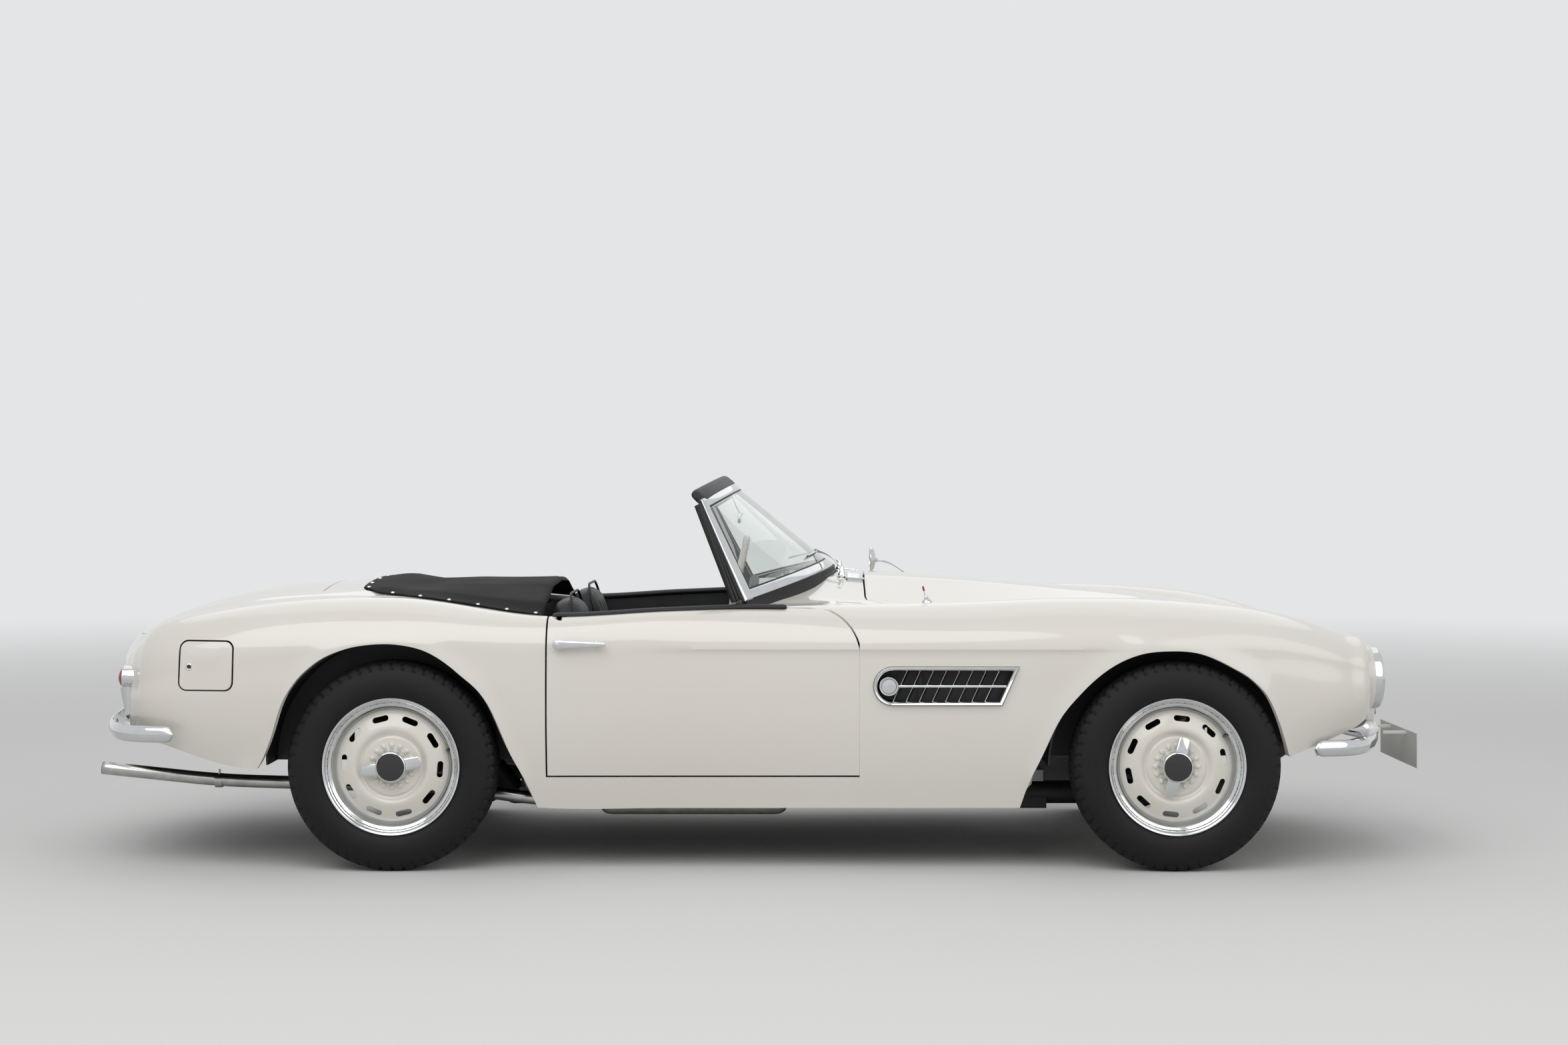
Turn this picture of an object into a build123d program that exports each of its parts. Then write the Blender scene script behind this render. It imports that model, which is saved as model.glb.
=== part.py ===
"""A two-seat open roadster of the nineteen-fifties, at full size, as an assembly of named pieces.

Frame: +X forward, +Y to the car's left, +Z up, in millimetres. The origin lies on the ground,
under the middle of the overall length and on the centre plane.
"""

from build123d import *
import math
import os

# Running gear
WHEELBASE = 2480
FRONT_AXLE_X = 1320
REAR_AXLE_X = FRONT_AXLE_X - WHEELBASE
FRONT_TRACK = 1445
REAR_TRACK = 1425
TYRE_RADIUS = 333
TYRE_WIDTH = 166
AXLE_Z = TYRE_RADIUS
RIM_SEAT_RADIUS = 204
RIM_WIDTH = 150
HUB_BORE_RADIUS = 20
RUNNING_CLEARANCE = 0.05
SEAT_CLEARANCE = 0.3

# Body
WALL = 22
PANEL_GAP = 5.5
FIT_GAP = 0.5
DOOR_INNER_Y = 690
DOOR_REAR_X = -668
DOOR_FRONT_X = 319
DOOR_BOTTOM_Z = 303
DOOR_CORNER = (184, 829)
SCREEN_POST_X = -45
HOOD_REAR_X = 350
HOOD_FRONT_X = 1960
TRUNK_FRONT_X = -1440
TRUNK_REAR_X = -2112
COCKPIT_REAR_X = -1310
PIN_RADIUS = 2.3
PIN_SINK = 0.3
SILL_INNER_Y = 616
FRONT_ARCH = (1304, 327, 374)
REAR_ARCH = (-1182, 329, 392)

# Half sections of the outer skin, from the nose to the tail. Columns: station, height of the centre line,
# then width and height of the hood ridge, of the valley beside it, of the wing's crown, of the side crease,
# of the widest line and of the lower edge.
SECTIONS = [
    (2095, 622, 90, 621, 200, 617, 290, 608, 385, 562, 400, 520, 370, 432),
    (2060, 655, 105, 653, 250, 645, 370, 650, 500, 590, 515, 535, 470, 445),
    (1995, 690, 120, 687, 300, 674, 535, 712, 664, 620, 670, 570, 615, 474),
    (1880, 729, 140, 725, 340, 712, 535, 746, 725, 650, 735, 565, 680, 435),
    (1700, 774, 160, 770, 375, 757, 560, 803, 768, 690, 778, 580, 735, 366),
    (1320, 845, 185, 839, 430, 805, 580, 851, 800, 703, 806, 600, 765, 250),
    (1000, 878, 195, 871, 455, 820, 590, 857, 790, 703, 792, 560, 742, 205),
    (600, 911, 205, 904, 480, 826, 602, 843, 782, 703, 786, 550, 735, 197),
    (350, 924, 215, 915, 500, 836, 615, 838, 780, 703, 786, 550, 735, 197),
    (100, 925, 300, 906, 550, 852, 650, 836, 780, 703, 787, 550, 735, 197),
    (-300, 905, 300, 892, 590, 842, 700, 820, 783, 703, 790, 550, 735, 197),
    (-670, 898, 300, 888, 570, 838, 695, 803, 787, 695, 792, 550, 738, 197),
    (-1160, 905, 300, 896, 500, 878, 620, 860, 802, 715, 812, 600, 770, 260),
    (-1420, 894, 300, 885, 490, 868, 605, 856, 792, 690, 802, 570, 760, 305),
    (-1700, 867, 285, 858, 465, 842, 585, 826, 765, 660, 775, 550, 735, 335),
    (-1920, 812, 265, 804, 430, 792, 550, 780, 718, 630, 730, 540, 690, 400),
    (-2060, 757, 240, 751, 390, 741, 495, 728, 648, 600, 662, 530, 625, 425),
    (-2130, 712, 215, 708, 345, 700, 440, 690, 575, 590, 590, 530, 560, 432),
    (-2160, 672, 180, 669, 290, 662, 370, 652, 485, 575, 500, 530, 470, 440),
]


def bezier(p0, p1, p2, p3, t):
    """A point of a cubic curve in the section plane."""
    weights = ((1 - t) ** 3, 3 * t * (1 - t) ** 2, 3 * t * t * (1 - t), t**3)
    return tuple(sum(w * p[i] for w, p in zip(weights, (p0, p1, p2, p3))) for i in range(2))


def section_wire(row, inset=0.0, open_below=0.0, shift=0.0):
    """The right half of one section, as arcs and lines, set in from the skin by inset."""
    x, zc, wr, zr, wv, zv, ww, zw, wk, zk, wm, zm, wb, zb = row
    centre = (0, zc - inset)
    ridge = (wr, zr - inset)
    valley = (wv, zv - inset)
    crown = (ww - 0.3 * inset, zw - inset)
    crease = (wk - inset, zk)
    belly = (wm - inset, zm)
    edge = (wb - inset, zb - open_below)

    def at(point):
        return Vector(x + shift, -point[0], point[1])

    def arc(start, middle, end):
        return Edge.make_three_point_arc(at(start), at(middle), at(end))

    rise = crown[0] - valley[0]
    flank = (
        valley,
        (valley[0] + 0.35 * rise, valley[1] + 0.45 * (crown[1] - valley[1])),
        (crown[0] - 0.45 * rise, crown[1]),
        crown,
    )
    drop = crown[1] - crease[1]
    shoulder = (
        crown,
        (crown[0] + 0.62 * (crease[0] - crown[0]), crown[1]),
        (crease[0] - 2, crease[1] + 0.45 * drop),
        crease,
    )
    upper_side = (
        crease,
        (crease[0] + 2, crease[1] - 0.4 * (crease[1] - belly[1])),
        (belly[0], belly[1] + 0.4 * (crease[1] - belly[1])),
        belly,
    )
    lower_side = (
        belly,
        (belly[0], belly[1] - 0.45 * (belly[1] - edge[1])),
        (edge[0] + 0.5 * (belly[0] - edge[0]), edge[1] + 0.3 * (belly[1] - edge[1])),
        edge,
    )
    bend = bezier(*shoulder, 0.45)
    keel = (0, edge[1])
    return Wire([
        arc(centre, (0.5 * ridge[0], centre[1] - 0.25 * (centre[1] - ridge[1])), ridge),
        Edge.make_line(at(ridge), at(valley)),
        arc(valley, bezier(*flank, 0.5), crown),
        arc(crown, bezier(*shoulder, 0.22), bend),
        arc(bend, bezier(*shoulder, 0.75), crease),
        arc(crease, bezier(*upper_side, 0.5), belly),
        arc(belly, bezier(*lower_side, 0.5), edge),
        Edge.make_line(at(edge), at(keel)),
        Edge.make_line(at(keel), at(centre)),
    ])


def half_envelope(inset=0.0, open_below=0.0):
    """The solid inside the right half of the skin, set in by inset at the sides, top and ends."""
    rows = SECTIONS
    wires = [section_wire(row, inset, open_below) for row in rows[1:-1]]
    first = section_wire(rows[0], inset, open_below, shift=-inset)
    last = section_wire(rows[-1], inset, open_below, shift=inset)
    return Solid.make_loft([first, *wires, last], ruled=False)


def left(shape):
    """The same piece on the car's left side."""
    return mirror(shape, about=Plane.XZ)


def both(shape):
    """The piece and its mirror image, joined across the centre plane."""
    return shape + left(shape)


def plan_face(points):
    """A face in the ground plane from points of x and distance from the centre plane, on the right side."""
    return make_face(Polyline(*[(x, -w) for x, w in points], close=True))


def tall(face, low=-100, high=1500):
    return extrude(Pos(0, 0, low) * face, high - low, dir=(0, 0, 1))


def side_face(points):
    """A face in the centre plane from points of x and z."""
    return make_face(Polyline(*[(x, 0, z) for x, z in points], close=True))


def across(face, near, far):
    """A face in the centre plane pushed out to the right, from one distance to another."""
    return extrude(Pos(0, -near, 0) * face, far - near, dir=(0, -1, 0))


def block(low, high):
    """A box between two corners."""
    size = [h - l for l, h in zip(low, high)]
    centre = [(h + l) / 2 for l, h in zip(low, high)]
    return Pos(*centre) * Box(*size)


def rod(start, end, radius):
    """A round bar between two points."""
    a, b = Vector(*start), Vector(*end)
    return Solid.make_cylinder(radius, (b - a).length, Plane(origin=a, z_dir=b - a))


def tube_along(path, radius):
    """A round bar along a wire."""
    start = path @ 0
    return sweep(Plane(origin=start, z_dir=path % 0) * Circle(radius), path=path)


# Outlines of the openings in the skin, right side
def door_outline():
    x1, z1 = DOOR_CORNER
    top = 1000
    corner = ThreePointArc((DOOR_FRONT_X, 0, 690), (285, 0, 775), (x1, 0, z1))
    rest = Polyline(
        (x1, 0, z1),
        (x1, 0, top),
        (DOOR_REAR_X, 0, top),
        (DOOR_REAR_X, 0, DOOR_BOTTOM_Z),
        (DOOR_FRONT_X, 0, DOOR_BOTTOM_Z),
        (DOOR_FRONT_X, 0, 690),
    )
    return make_face(Curve() + [corner, rest])


def hood_outline():
    return plan_face([
        (HOOD_REAR_X + 8, -1),
        (HOOD_REAR_X, 460),
        (HOOD_REAR_X + 30, 492),
        (600, 478),
        (1000, 453),
        (1320, 428),
        (1700, 372),
        (1880, 320),
        (HOOD_FRONT_X - 25, 260),
        (HOOD_FRONT_X, 140),
        (HOOD_FRONT_X, -1),
    ])


def trunk_outline():
    return plan_face([
        (TRUNK_FRONT_X, -1),
        (TRUNK_FRONT_X, 452),
        (TRUNK_FRONT_X - 36, 482),
        (-1700, 462),
        (-1920, 427),
        (-2060, 385),
        (TRUNK_REAR_X + 20, 345),
        (TRUNK_REAR_X, 240),
        (TRUNK_REAR_X, -1),
    ])


def cockpit_outline():
    return plan_face([
        (COCKPIT_REAR_X, -1),
        (COCKPIT_REAR_X, 400),
        (COCKPIT_REAR_X + 45, 510),
        (-1160, 580),
        (-900, 640),
        (DOOR_REAR_X, DOOR_INNER_Y),
        (SCREEN_POST_X - 30, DOOR_INNER_Y),
        (10, 480),
        (80, 250),
        (105, -1),
    ])


def arch_cut(arch, near=430):
    """The room cut out of the skin round a wheel, with its lower side running out towards the sill."""
    x, z, radius = arch
    round_part = Pos(x, -(near + 1000) / 2, z) * Rot(90, 0, 0) * Cylinder(radius, 1000 - near)
    return round_part


def sill_flare(arch, side):
    """The slanting cut that opens an arch towards the sill."""
    x, z, radius = arch
    face = side_face([
        (x, z),
        (x + side * radius * 0.985, z + radius * 0.17),
        (x + side * (radius + 70), 150),
        (x, 150),
    ])
    return across(face, 430, 1000)


# Sizes of the vent and the filler lid, in the side view
VENT_X = (362, 823)
VENT_Z = (526, 648)
VENT_SLANT = 55
VENT_SLATS = 9
FILLER_X = (-1837, -1666)
FILLER_Z = (574, 726)


def vent_outline(grow=0.0):
    """A round end towards the door and a slanted end towards the wheel."""
    x0, x1 = VENT_X[0] - grow, VENT_X[1] + grow
    z0, z1 = VENT_Z[0] - grow, VENT_Z[1] + grow
    radius = (z1 - z0) / 2
    bow = ThreePointArc((x0 + radius, 0, z0), (x0, 0, (z0 + z1) / 2), (x0 + radius, 0, z1))
    rest = Polyline((x0 + radius, 0, z1), (x1, 0, z1), (x1 - VENT_SLANT, 0, z0), (x0 + radius, 0, z0))
    return make_face(Curve() + [bow, rest])


def filler_outline(grow=0.0):
    width = FILLER_X[1] - FILLER_X[0] + 2 * grow
    height = FILLER_Z[1] - FILLER_Z[0] + 2 * grow
    centre = (sum(FILLER_X) / 2, 0, sum(FILLER_Z) / 2)
    return Pos(*centre) * (Plane.XZ * RectangleRounded(width, height, 24 + grow))


pieces = {}


def add(name, shape):
    pieces[name] = shape


def add_pair(name, shape):
    """The right piece and its mirror image, as two pieces."""
    add(name + "_r", shape)
    add(name + "_l", left(shape))


def pair(shape):
    """The right piece and its mirror image in one node."""
    return Compound(children=[*shape.solids(), *left(shape).solids()])


def largest(shape):
    return max(shape.solids(), key=lambda s: s.volume)


# The skin and the outlines of what is cut from it
outer = half_envelope()
skin = outer - half_envelope(WALL, 80)
room = half_envelope(WALL + FIT_GAP)
door_face = door_outline()
hood_face = hood_outline()
trunk_face = trunk_outline()
door_room = across(offset(door_face, PANEL_GAP, kind=Kind.INTERSECTION), DOOR_INNER_Y - PANEL_GAP, 1000)
hood_room = tall(offset(hood_face, PANEL_GAP, kind=Kind.INTERSECTION), 500)
trunk_room = tall(offset(trunk_face, PANEL_GAP, kind=Kind.INTERSECTION), 460)
cockpit = tall(cockpit_outline(), 500)

# Where the fixed skin is parted
COWL_FRONT_X = DOOR_FRONT_X + PANEL_GAP
NOSE_X = HOOD_FRONT_X + PANEL_GAP
NOSE_HALF = 425
SILL_TOP_Z = DOOR_BOTTOM_Z - PANEL_GAP

# Lamps and grilles, right side
HEADLAMP = (1995, 548, 597)
HEADLAMP_RADIUS = 100
TAIL_LAMP = (-2035, 590, 600)
TAIL_LAMP_RADIUS = 38
INDICATOR = (1994, 620, 437)
INDICATOR_RADIUS = 30
INDICATOR_LENGTH = 144
GRILLE_Y = (32, 362)
GRILLE_Z = (458, 588)
GRILLE_X = (2050, 2108)
GRILLE_BARS = 13


def grille_outline(grow=0.0):
    width = GRILLE_Y[1] - GRILLE_Y[0] + 2 * grow
    height = GRILLE_Z[1] - GRILLE_Z[0] + 2 * grow
    centre = (0, -sum(GRILLE_Y) / 2, sum(GRILLE_Z) / 2)
    return Pos(*centre) * (Plane.YZ * RectangleRounded(width, height, 55 + grow))


def along_x(face, start, end):
    return extrude(Pos(start, 0, 0) * face, end - start, dir=(1, 0, 0))


# Opening panels. Their hinge pins lie in the gaps at their edges, sunk a little into the panels' edges.
# Columns of the axes: x and z across the car, x and distance from the centre plane for upright ones
PIN_OUT = PIN_RADIUS - PIN_SINK
HOOD_AXIS = (HOOD_REAR_X + 8 - PIN_OUT, 922)
TRUNK_AXIS = (TRUNK_FRONT_X + PIN_OUT, 890.3)
DOOR_AXIS = (DOOR_FRONT_X + PIN_OUT, 784)
FILLER_AXIS = (FILLER_X[1] + PIN_OUT, 775)
LID_PIN_HALF = 45
DOOR_PIN_Z = ((490, 540), (590, 640))
FILLER_PIN_Z = (590, 620)


def lid_pin(axis):
    x, z = axis
    return rod((x, -LID_PIN_HALF, z), (x, LID_PIN_HALF, z), PIN_RADIUS)


def upright_pin(axis, span):
    x, w = axis
    return rod((x, -w, span[0]), (x, -w, span[1]), PIN_RADIUS)


add("hood", both((skin & tall(hood_face, 500)).solid()) + lid_pin(HOOD_AXIS))
add("trunk_lid", both((skin & tall(trunk_face, 460)).solid()) + lid_pin(TRUNK_AXIS))
door = outer & across(door_face, DOOR_INNER_Y, 1000)
swing_relief = plan_face([
    (DOOR_REAR_X - 1, DOOR_INNER_Y - 1),
    (DOOR_REAR_X + 75, DOOR_INNER_Y - 1),
    (DOOR_REAR_X - 1, 768),
])
door = largest(door - tall(swing_relief))
for span in DOOR_PIN_Z:
    door = door + upright_pin(DOOR_AXIS, span)
add_pair("door", door)
filler_lid = skin & across(filler_outline(), 600, 1000)
add("filler_door", filler_lid + upright_pin(FILLER_AXIS, FILLER_PIN_Z))

# Fixed panels
fixed_skin = skin - hood_room - trunk_room - cockpit - door_room
cowl_zone = block((SCREEN_POST_X - 60, -900, 695), (COWL_FRONT_X, 1, 1500)) + block(
    (COWL_FRONT_X - 1, -540, 695), (HOOD_REAR_X + 12, 1, 1500)
)
nose_zone = block((NOSE_X, -NOSE_HALF, 300), (2300, 1, 900))
front_zone = block((COWL_FRONT_X, -1000, 0), (2300, 1, 1500))
rear_zone = block((-2300, -1000, 0), (DOOR_REAR_X - PANEL_GAP, 1, 1500))
sill_zone = block(
    (DOOR_REAR_X - PANEL_GAP + FIT_GAP, -1000, 0), (COWL_FRONT_X - FIT_GAP, -SILL_INNER_Y, SILL_TOP_Z)
)


def lamp_bore(lamp, radius, depth):
    """The round hole that a lamp sits in, along the car."""
    x, w, z = lamp
    return Pos(x, -w, z) * Rot(0, 90, 0) * Cylinder(radius + FIT_GAP, depth)


lamp_hole = lamp_bore(HEADLAMP, HEADLAMP_RADIUS, 400)
front_wing = (fixed_skin & front_zone) - cowl_zone - nose_zone
front_wing = front_wing - arch_cut(FRONT_ARCH) - sill_flare(FRONT_ARCH, -1)
front_wing = front_wing - across(vent_outline(FIT_GAP), 650, 1000) - lamp_hole
front_wing = largest(front_wing)
rear_half = (fixed_skin & rear_zone) - arch_cut(REAR_ARCH) - sill_flare(REAR_ARCH, 1)
rear_half = largest(rear_half - lamp_bore(TAIL_LAMP, TAIL_LAMP_RADIUS, 300))
rear_body = both(rear_half) - across(filler_outline(PANEL_GAP), 600, 1000)
nose_half = (fixed_skin & nose_zone) - along_x(grille_outline(FIT_GAP), 1900, 2300)
add_pair("front_wing", front_wing)
add("rear_body", rear_body)
add("cowl_panel", both(largest(fixed_skin & cowl_zone)))
add("nose_panel", both(largest(nose_half - lamp_hole)))
add_pair("sill", outer & sill_zone)

# Frame of two tubes with cross members, and the towers of the front suspension
RAIL_Y = 340
RAIL_RADIUS = 38
RAIL_POINTS = [(1800, 400), (1480, 200), (-815, 200), (-1010, 440), (-1400, 450), (-1960, 455)]
CROSS_X = (1320, 60, -700)
TOWER_X = (1235, 1405)
FLOOR_Z = RAIL_POINTS[1][1] + RAIL_RADIUS + SEAT_CLEARANCE
FLOOR_THICK = 10
PAD_X = (900, -600)


def chassis_frame():
    points = [(x, -RAIL_Y, z) for x, z in RAIL_POINTS]
    side = rod(points[0], points[1], RAIL_RADIUS)
    for start, end in zip(points[1:], points[2:]):
        side = side + Pos(*start) * Sphere(RAIL_RADIUS) + rod(start, end, RAIL_RADIUS)
    side = side + block((TOWER_X[0], -RAIL_Y - RAIL_RADIUS, 200), (TOWER_X[1], -RAIL_Y, 480))
    for x in PAD_X:
        side = side + block((x - 50, -RAIL_Y - 35, 150), (x + 50, -RAIL_Y + 35, 200))
    for x in CROSS_X:
        side = side + rod((x, -RAIL_Y, 200), (x, 0, 200), 26)
    rear_x, rear_z = RAIL_POINTS[-2]
    return both(side + rod((rear_x, -RAIL_Y, rear_z), (rear_x, 0, rear_z), 26))


add("chassis_frame", chassis_frame())

# Floor, tunnel, firewall, bulkhead and luggage floor
TUNNEL_HALF = 150
TUNNEL_CENTRE_Z = 310
FIREWALL_X = (505, 517)
BULKHEAD_X = (-772, -760)
LUGGAGE_Z = 505
lining = half_envelope(WALL + 9)


def tunnel(half):
    low = FLOOR_Z
    upper = Pos(-130, 0, TUNNEL_CENTRE_Z) * Rot(0, 90, 0) * Cylinder(half, 2000)
    return block((-1130, -half, low - 100), (870, half, TUNNEL_CENTRE_Z)) + upper


def floor_pan():
    hollow = tunnel(TUNNEL_HALF - FLOOR_THICK)
    span = block((BULKHEAD_X[0], -SILL_INNER_Y, FLOOR_Z), (FIREWALL_X[1], SILL_INNER_Y, 1500))
    half_floor = SILL_INNER_Y - FIT_GAP
    plate = block((BULKHEAD_X[0], -half_floor, FLOOR_Z), (FIREWALL_X[1], half_floor, FLOOR_Z + FLOOR_THICK))
    firewall = lining & block((FIREWALL_X[0], -1000, FLOOR_Z), (FIREWALL_X[1], 1, 1500))
    bulkhead = lining & block((BULKHEAD_X[0], -560, FLOOR_Z), (BULKHEAD_X[1], 1, 800))
    profile = side_face([
        (BULKHEAD_X[1], 600), (-1500, 600), (-1570, LUGGAGE_Z), (-2050, LUGGAGE_Z),
        (-2050, LUGGAGE_Z + 10), (-1575, LUGGAGE_Z + 10), (-1505, 610), (BULKHEAD_X[1], 610),
    ])
    luggage = across(profile, -1, 560) & lining
    walls = both(firewall) + both(bulkhead) + both(luggage)
    return largest(plate + (tunnel(TUNNEL_HALF) & span) + walls - hollow)


add("floor_pan", floor_pan())

# Inner panels: wheel housings, door posts, the channels under the lids and the filler box
HOUSING_RADIUS = 398
HOUSING_THICK = 6
ARM_WINDOW = (150, 520)
POST_LENGTH = 30


def housing(axle_x, near):
    """A half round tub over a wheel, closed on the inside."""
    centre = Pos(axle_x, -(near + 900) / 2, AXLE_Z) * Rot(90, 0, 0)
    tub = centre * Cylinder(HOUSING_RADIUS + HOUSING_THICK, 900 - near)
    space = Pos(axle_x, -(near + HOUSING_THICK + 900) / 2, AXLE_Z) * Rot(90, 0, 0) * Cylinder(
        HOUSING_RADIUS, 900 - near - HOUSING_THICK
    )
    window = block((axle_x - ARM_WINDOW[0], -near - 50, 0), (axle_x + ARM_WINDOW[0], -near + 50, ARM_WINDOW[1]))
    return (tub - space - window) & room & block((axle_x - 500, -1000, AXLE_Z), (axle_x + 500, 0, 1000))


# Landing tabs under the edges of the hood and the luggage lid. Columns: station, width, height of the skin there
HOOD_TABS = [(680, 473, 823), (1250, 434, 812), (1800, 345, 735)]
LID_TABS = [(-1580, 476, 854), (-1960, 418, 780)]
TAB_REACH = 34


def landing(x, w, z):
    """A tab that carries a lid's edge from the fixed panel beside it."""
    tab = block((x - 25, -w - TAB_REACH, z - 60), (x + 25, -w + TAB_REACH, z + 60))
    return tab & half_envelope(WALL + SEAT_CLEARANCE)


def filler_box():
    cup = across(filler_outline(12), 645, 1000) - across(filler_outline(-8), 655, 1000)
    return cup & half_envelope(WALL + SEAT_CLEARANCE)


def door_post():
    front = DOOR_FRONT_X + SEAT_CLEARANCE
    return room & block((front, -900, SILL_TOP_Z + FIT_GAP), (front + POST_LENGTH, -SILL_INNER_Y - 4, 800))


inner_side = [housing(FRONT_AXLE_X, 450), housing(REAR_AXLE_X, 570), door_post()]
inner_side += [landing(*row) for row in HOOD_TABS + LID_TABS]
inner_solids = []
for shape in inner_side:
    inner_solids += [*shape.solids(), *left(shape).solids()]
inner_solids += filler_box().solids()
add("inner_panels", Compound(children=inner_solids))

# Engine and driveline
ENGINE_X = (640, 1180)
CRANK_Z = 300
ENGINE_HALF = [(0, 170), (120, 170), (130, 330), (280, 520), (250, 640), (110, 690), (0, 690)]
engine_face = make_face(Polyline(*[(0, -w, z) for w, z in ENGINE_HALF], close=True))
engine = both(along_x(engine_face, *ENGINE_X))
engine = engine + Pos(900, 0, 720) * Cylinder(130, 70)
for side in (-1, 1):
    engine = engine + block((880, min(side * 120, side * 365), FLOOR_Z), (940, max(side * 120, side * 365), 275))
add("engine", engine)
DIFF_RADIUS = 115
GEARBOX_X = (60, 210)
gearbox = rod((ENGINE_X[0] - FIT_GAP, 0, CRANK_Z), (GEARBOX_X[1], 0, CRANK_Z), 112)
gearbox = gearbox + rod((GEARBOX_X[1] + 1, 0, CRANK_Z), (GEARBOX_X[0], 0, CRANK_Z), 60)
shaft = rod((GEARBOX_X[0] + 1, 0, CRANK_Z), (REAR_AXLE_X + DIFF_RADIUS + FIT_GAP, 0, AXLE_Z), 32)
add("driveline", gearbox + shaft)

# Front suspension and steered knuckles
KINGPIN_Y = 655
KINGPIN_RADIUS = 13
ARM_RADIUS = 14
LOWER_ARM_Z = 214
UPPER_ARM_Z = 455
PIVOT_RADIUS = 17
PIVOT_Y = RAIL_Y + RAIL_RADIUS + PIVOT_RADIUS + SEAT_CLEARANCE
RING_RADIUS = 25


def front_suspension():
    x = FRONT_AXLE_X
    side = None
    for z, half_span in ((LOWER_ARM_Z, 145), (UPPER_ARM_Z, 80)):
        pivot_z = 200 if z == LOWER_ARM_Z else z
        ends = [(x + sign * (half_span + 20), -PIVOT_Y, pivot_z) for sign in (-1, 1)]
        arms = rod(*ends, PIVOT_RADIUS)
        for sign in (-1, 1):
            arms = arms + rod((x + sign * half_span, -PIVOT_Y, pivot_z), (x, -KINGPIN_Y, z), ARM_RADIUS)
        arms = arms + Pos(x, -KINGPIN_Y, z) * Cylinder(RING_RADIUS, 2 * ARM_RADIUS)
        arms = arms - Pos(x, -KINGPIN_Y, z) * Cylinder(KINGPIN_RADIUS + RUNNING_CLEARANCE, 80)
        side = arms if side is None else side + arms
    pan = block((FRONT_AXLE_X - 110, -545, 200), (FRONT_AXLE_X + 110, -455, 214))
    return pair(side + pan + rod((FRONT_AXLE_X, -500, 205), (FRONT_AXLE_X, -500, 425), 45))


def knuckle():
    x, y = FRONT_AXLE_X, -KINGPIN_Y
    pin = rod((x, y, LOWER_ARM_Z - 16), (x, y, UPPER_ARM_Z + 16), KINGPIN_RADIUS)
    sleeve = rod((x, y, LOWER_ARM_Z + 20), (x, y, UPPER_ARM_Z - 20), 21)
    stub = rod((x, y, AXLE_Z), (x, -FRONT_TRACK / 2 - 50, AXLE_Z), HUB_BORE_RADIUS)
    plate = rod((x, y - 12, AXLE_Z), (x, y - 20, AXLE_Z), 90)
    arm = rod((x, y, 262), (x - 140, y + 30, 262), 11)
    return pin + sleeve + stub + plate + arm


add("front_suspension", front_suspension())
add_pair("knuckle", knuckle())

# Rear axle
(before_x, before_z), (after_x, after_z) = RAIL_POINTS[3:5]
rail_slope = (after_z - before_z) / (after_x - before_x)
rail_under = before_z + rail_slope * (REAR_AXLE_X - before_x) - RAIL_RADIUS


def axle_run(near, far, radius):
    return rod((REAR_AXLE_X, -near, AXLE_Z), (REAR_AXLE_X, -far, AXLE_Z), radius)


axle_half = axle_run(0, 620, 38) + axle_run(600, REAR_TRACK / 2 + 50, HUB_BORE_RADIUS) + axle_run(612, 622, 130)
axle_half = axle_half + rod((REAR_AXLE_X, -RAIL_Y, AXLE_Z), (REAR_AXLE_X, -RAIL_Y, rail_under - 1.2), 30)
add("rear_axle", both(axle_half) + Pos(REAR_AXLE_X, 0, AXLE_Z) * Sphere(DIFF_RADIUS))

# Wheels and tyres. Columns: radius, offset outwards from the wheel's middle plane
RIM_HALF = RIM_WIDTH / 2
RIM_PROFILE = [
    (RIM_SEAT_RADIUS + 10, RIM_HALF), (RIM_SEAT_RADIUS, RIM_HALF - 9), (RIM_SEAT_RADIUS, 9 - RIM_HALF),
    (RIM_SEAT_RADIUS + 10, -RIM_HALF), (RIM_SEAT_RADIUS - 10, 16 - RIM_HALF), (RIM_SEAT_RADIUS - 10, RIM_HALF - 16),
]
DISC_PROFILE = [(196, 46), (126, 60), (94, 52), (58, 52), (58, 40), (126, 48), (196, 34)]
BORE = HUB_BORE_RADIUS + RUNNING_CLEARANCE
HUB_PROFILE = [
    (140, -34), (140, 18), (60, 18), (60, 64), (42, 68), (30, 92), (0, 92), (0, 55), (BORE, 55), (BORE, -34),
]
TYRE_PROFILE = [
    (TYRE_RADIUS, 45), (TYRE_RADIUS - 24, 70), (262, TYRE_WIDTH / 2),
    (RIM_SEAT_RADIUS + SEAT_CLEARANCE, RIM_HALF - 9 - SEAT_CLEARANCE),
]
SLOT_COUNT = 10
SLOT_RADIUS = 165
SLOT_SIZE = (46, 13)
EAR_REACH = 93


def turned(profile):
    """A solid turned about the wheel's axis from radius and offset, on the right side, where outwards is -Y."""
    face = make_face(Polyline(*[(radius, -offset_, 0) for radius, offset_ in profile], close=True))
    return revolve(face, Axis.Y)


def wheel(ear_angle):
    disc = turned(DISC_PROFILE)
    slot = Pos(0, 0, SLOT_RADIUS) * Rot(90, 0, 0) * extrude(SlotOverall(*SLOT_SIZE), 200, both=True)
    for i in range(SLOT_COUNT):
        disc = disc - Rot(0, i * 360 / SLOT_COUNT, 0) * slot
    blade_face = Plane.XZ * Trapezoid(44, EAR_REACH, 80, align=(Align.CENTER, Align.MIN))
    ear = extrude(Pos(0, -72, 0) * blade_face, 12, dir=(0, -1, 0))
    spinner = ear + Rot(0, 180, 0) * ear
    bore = Pos(0, 10.5, 0) * Rot(90, 0, 0) * Cylinder(BORE, 131)
    return turned(RIM_PROFILE) + disc + turned(HUB_PROFILE) + Rot(0, ear_angle, 0) * spinner - bore


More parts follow.
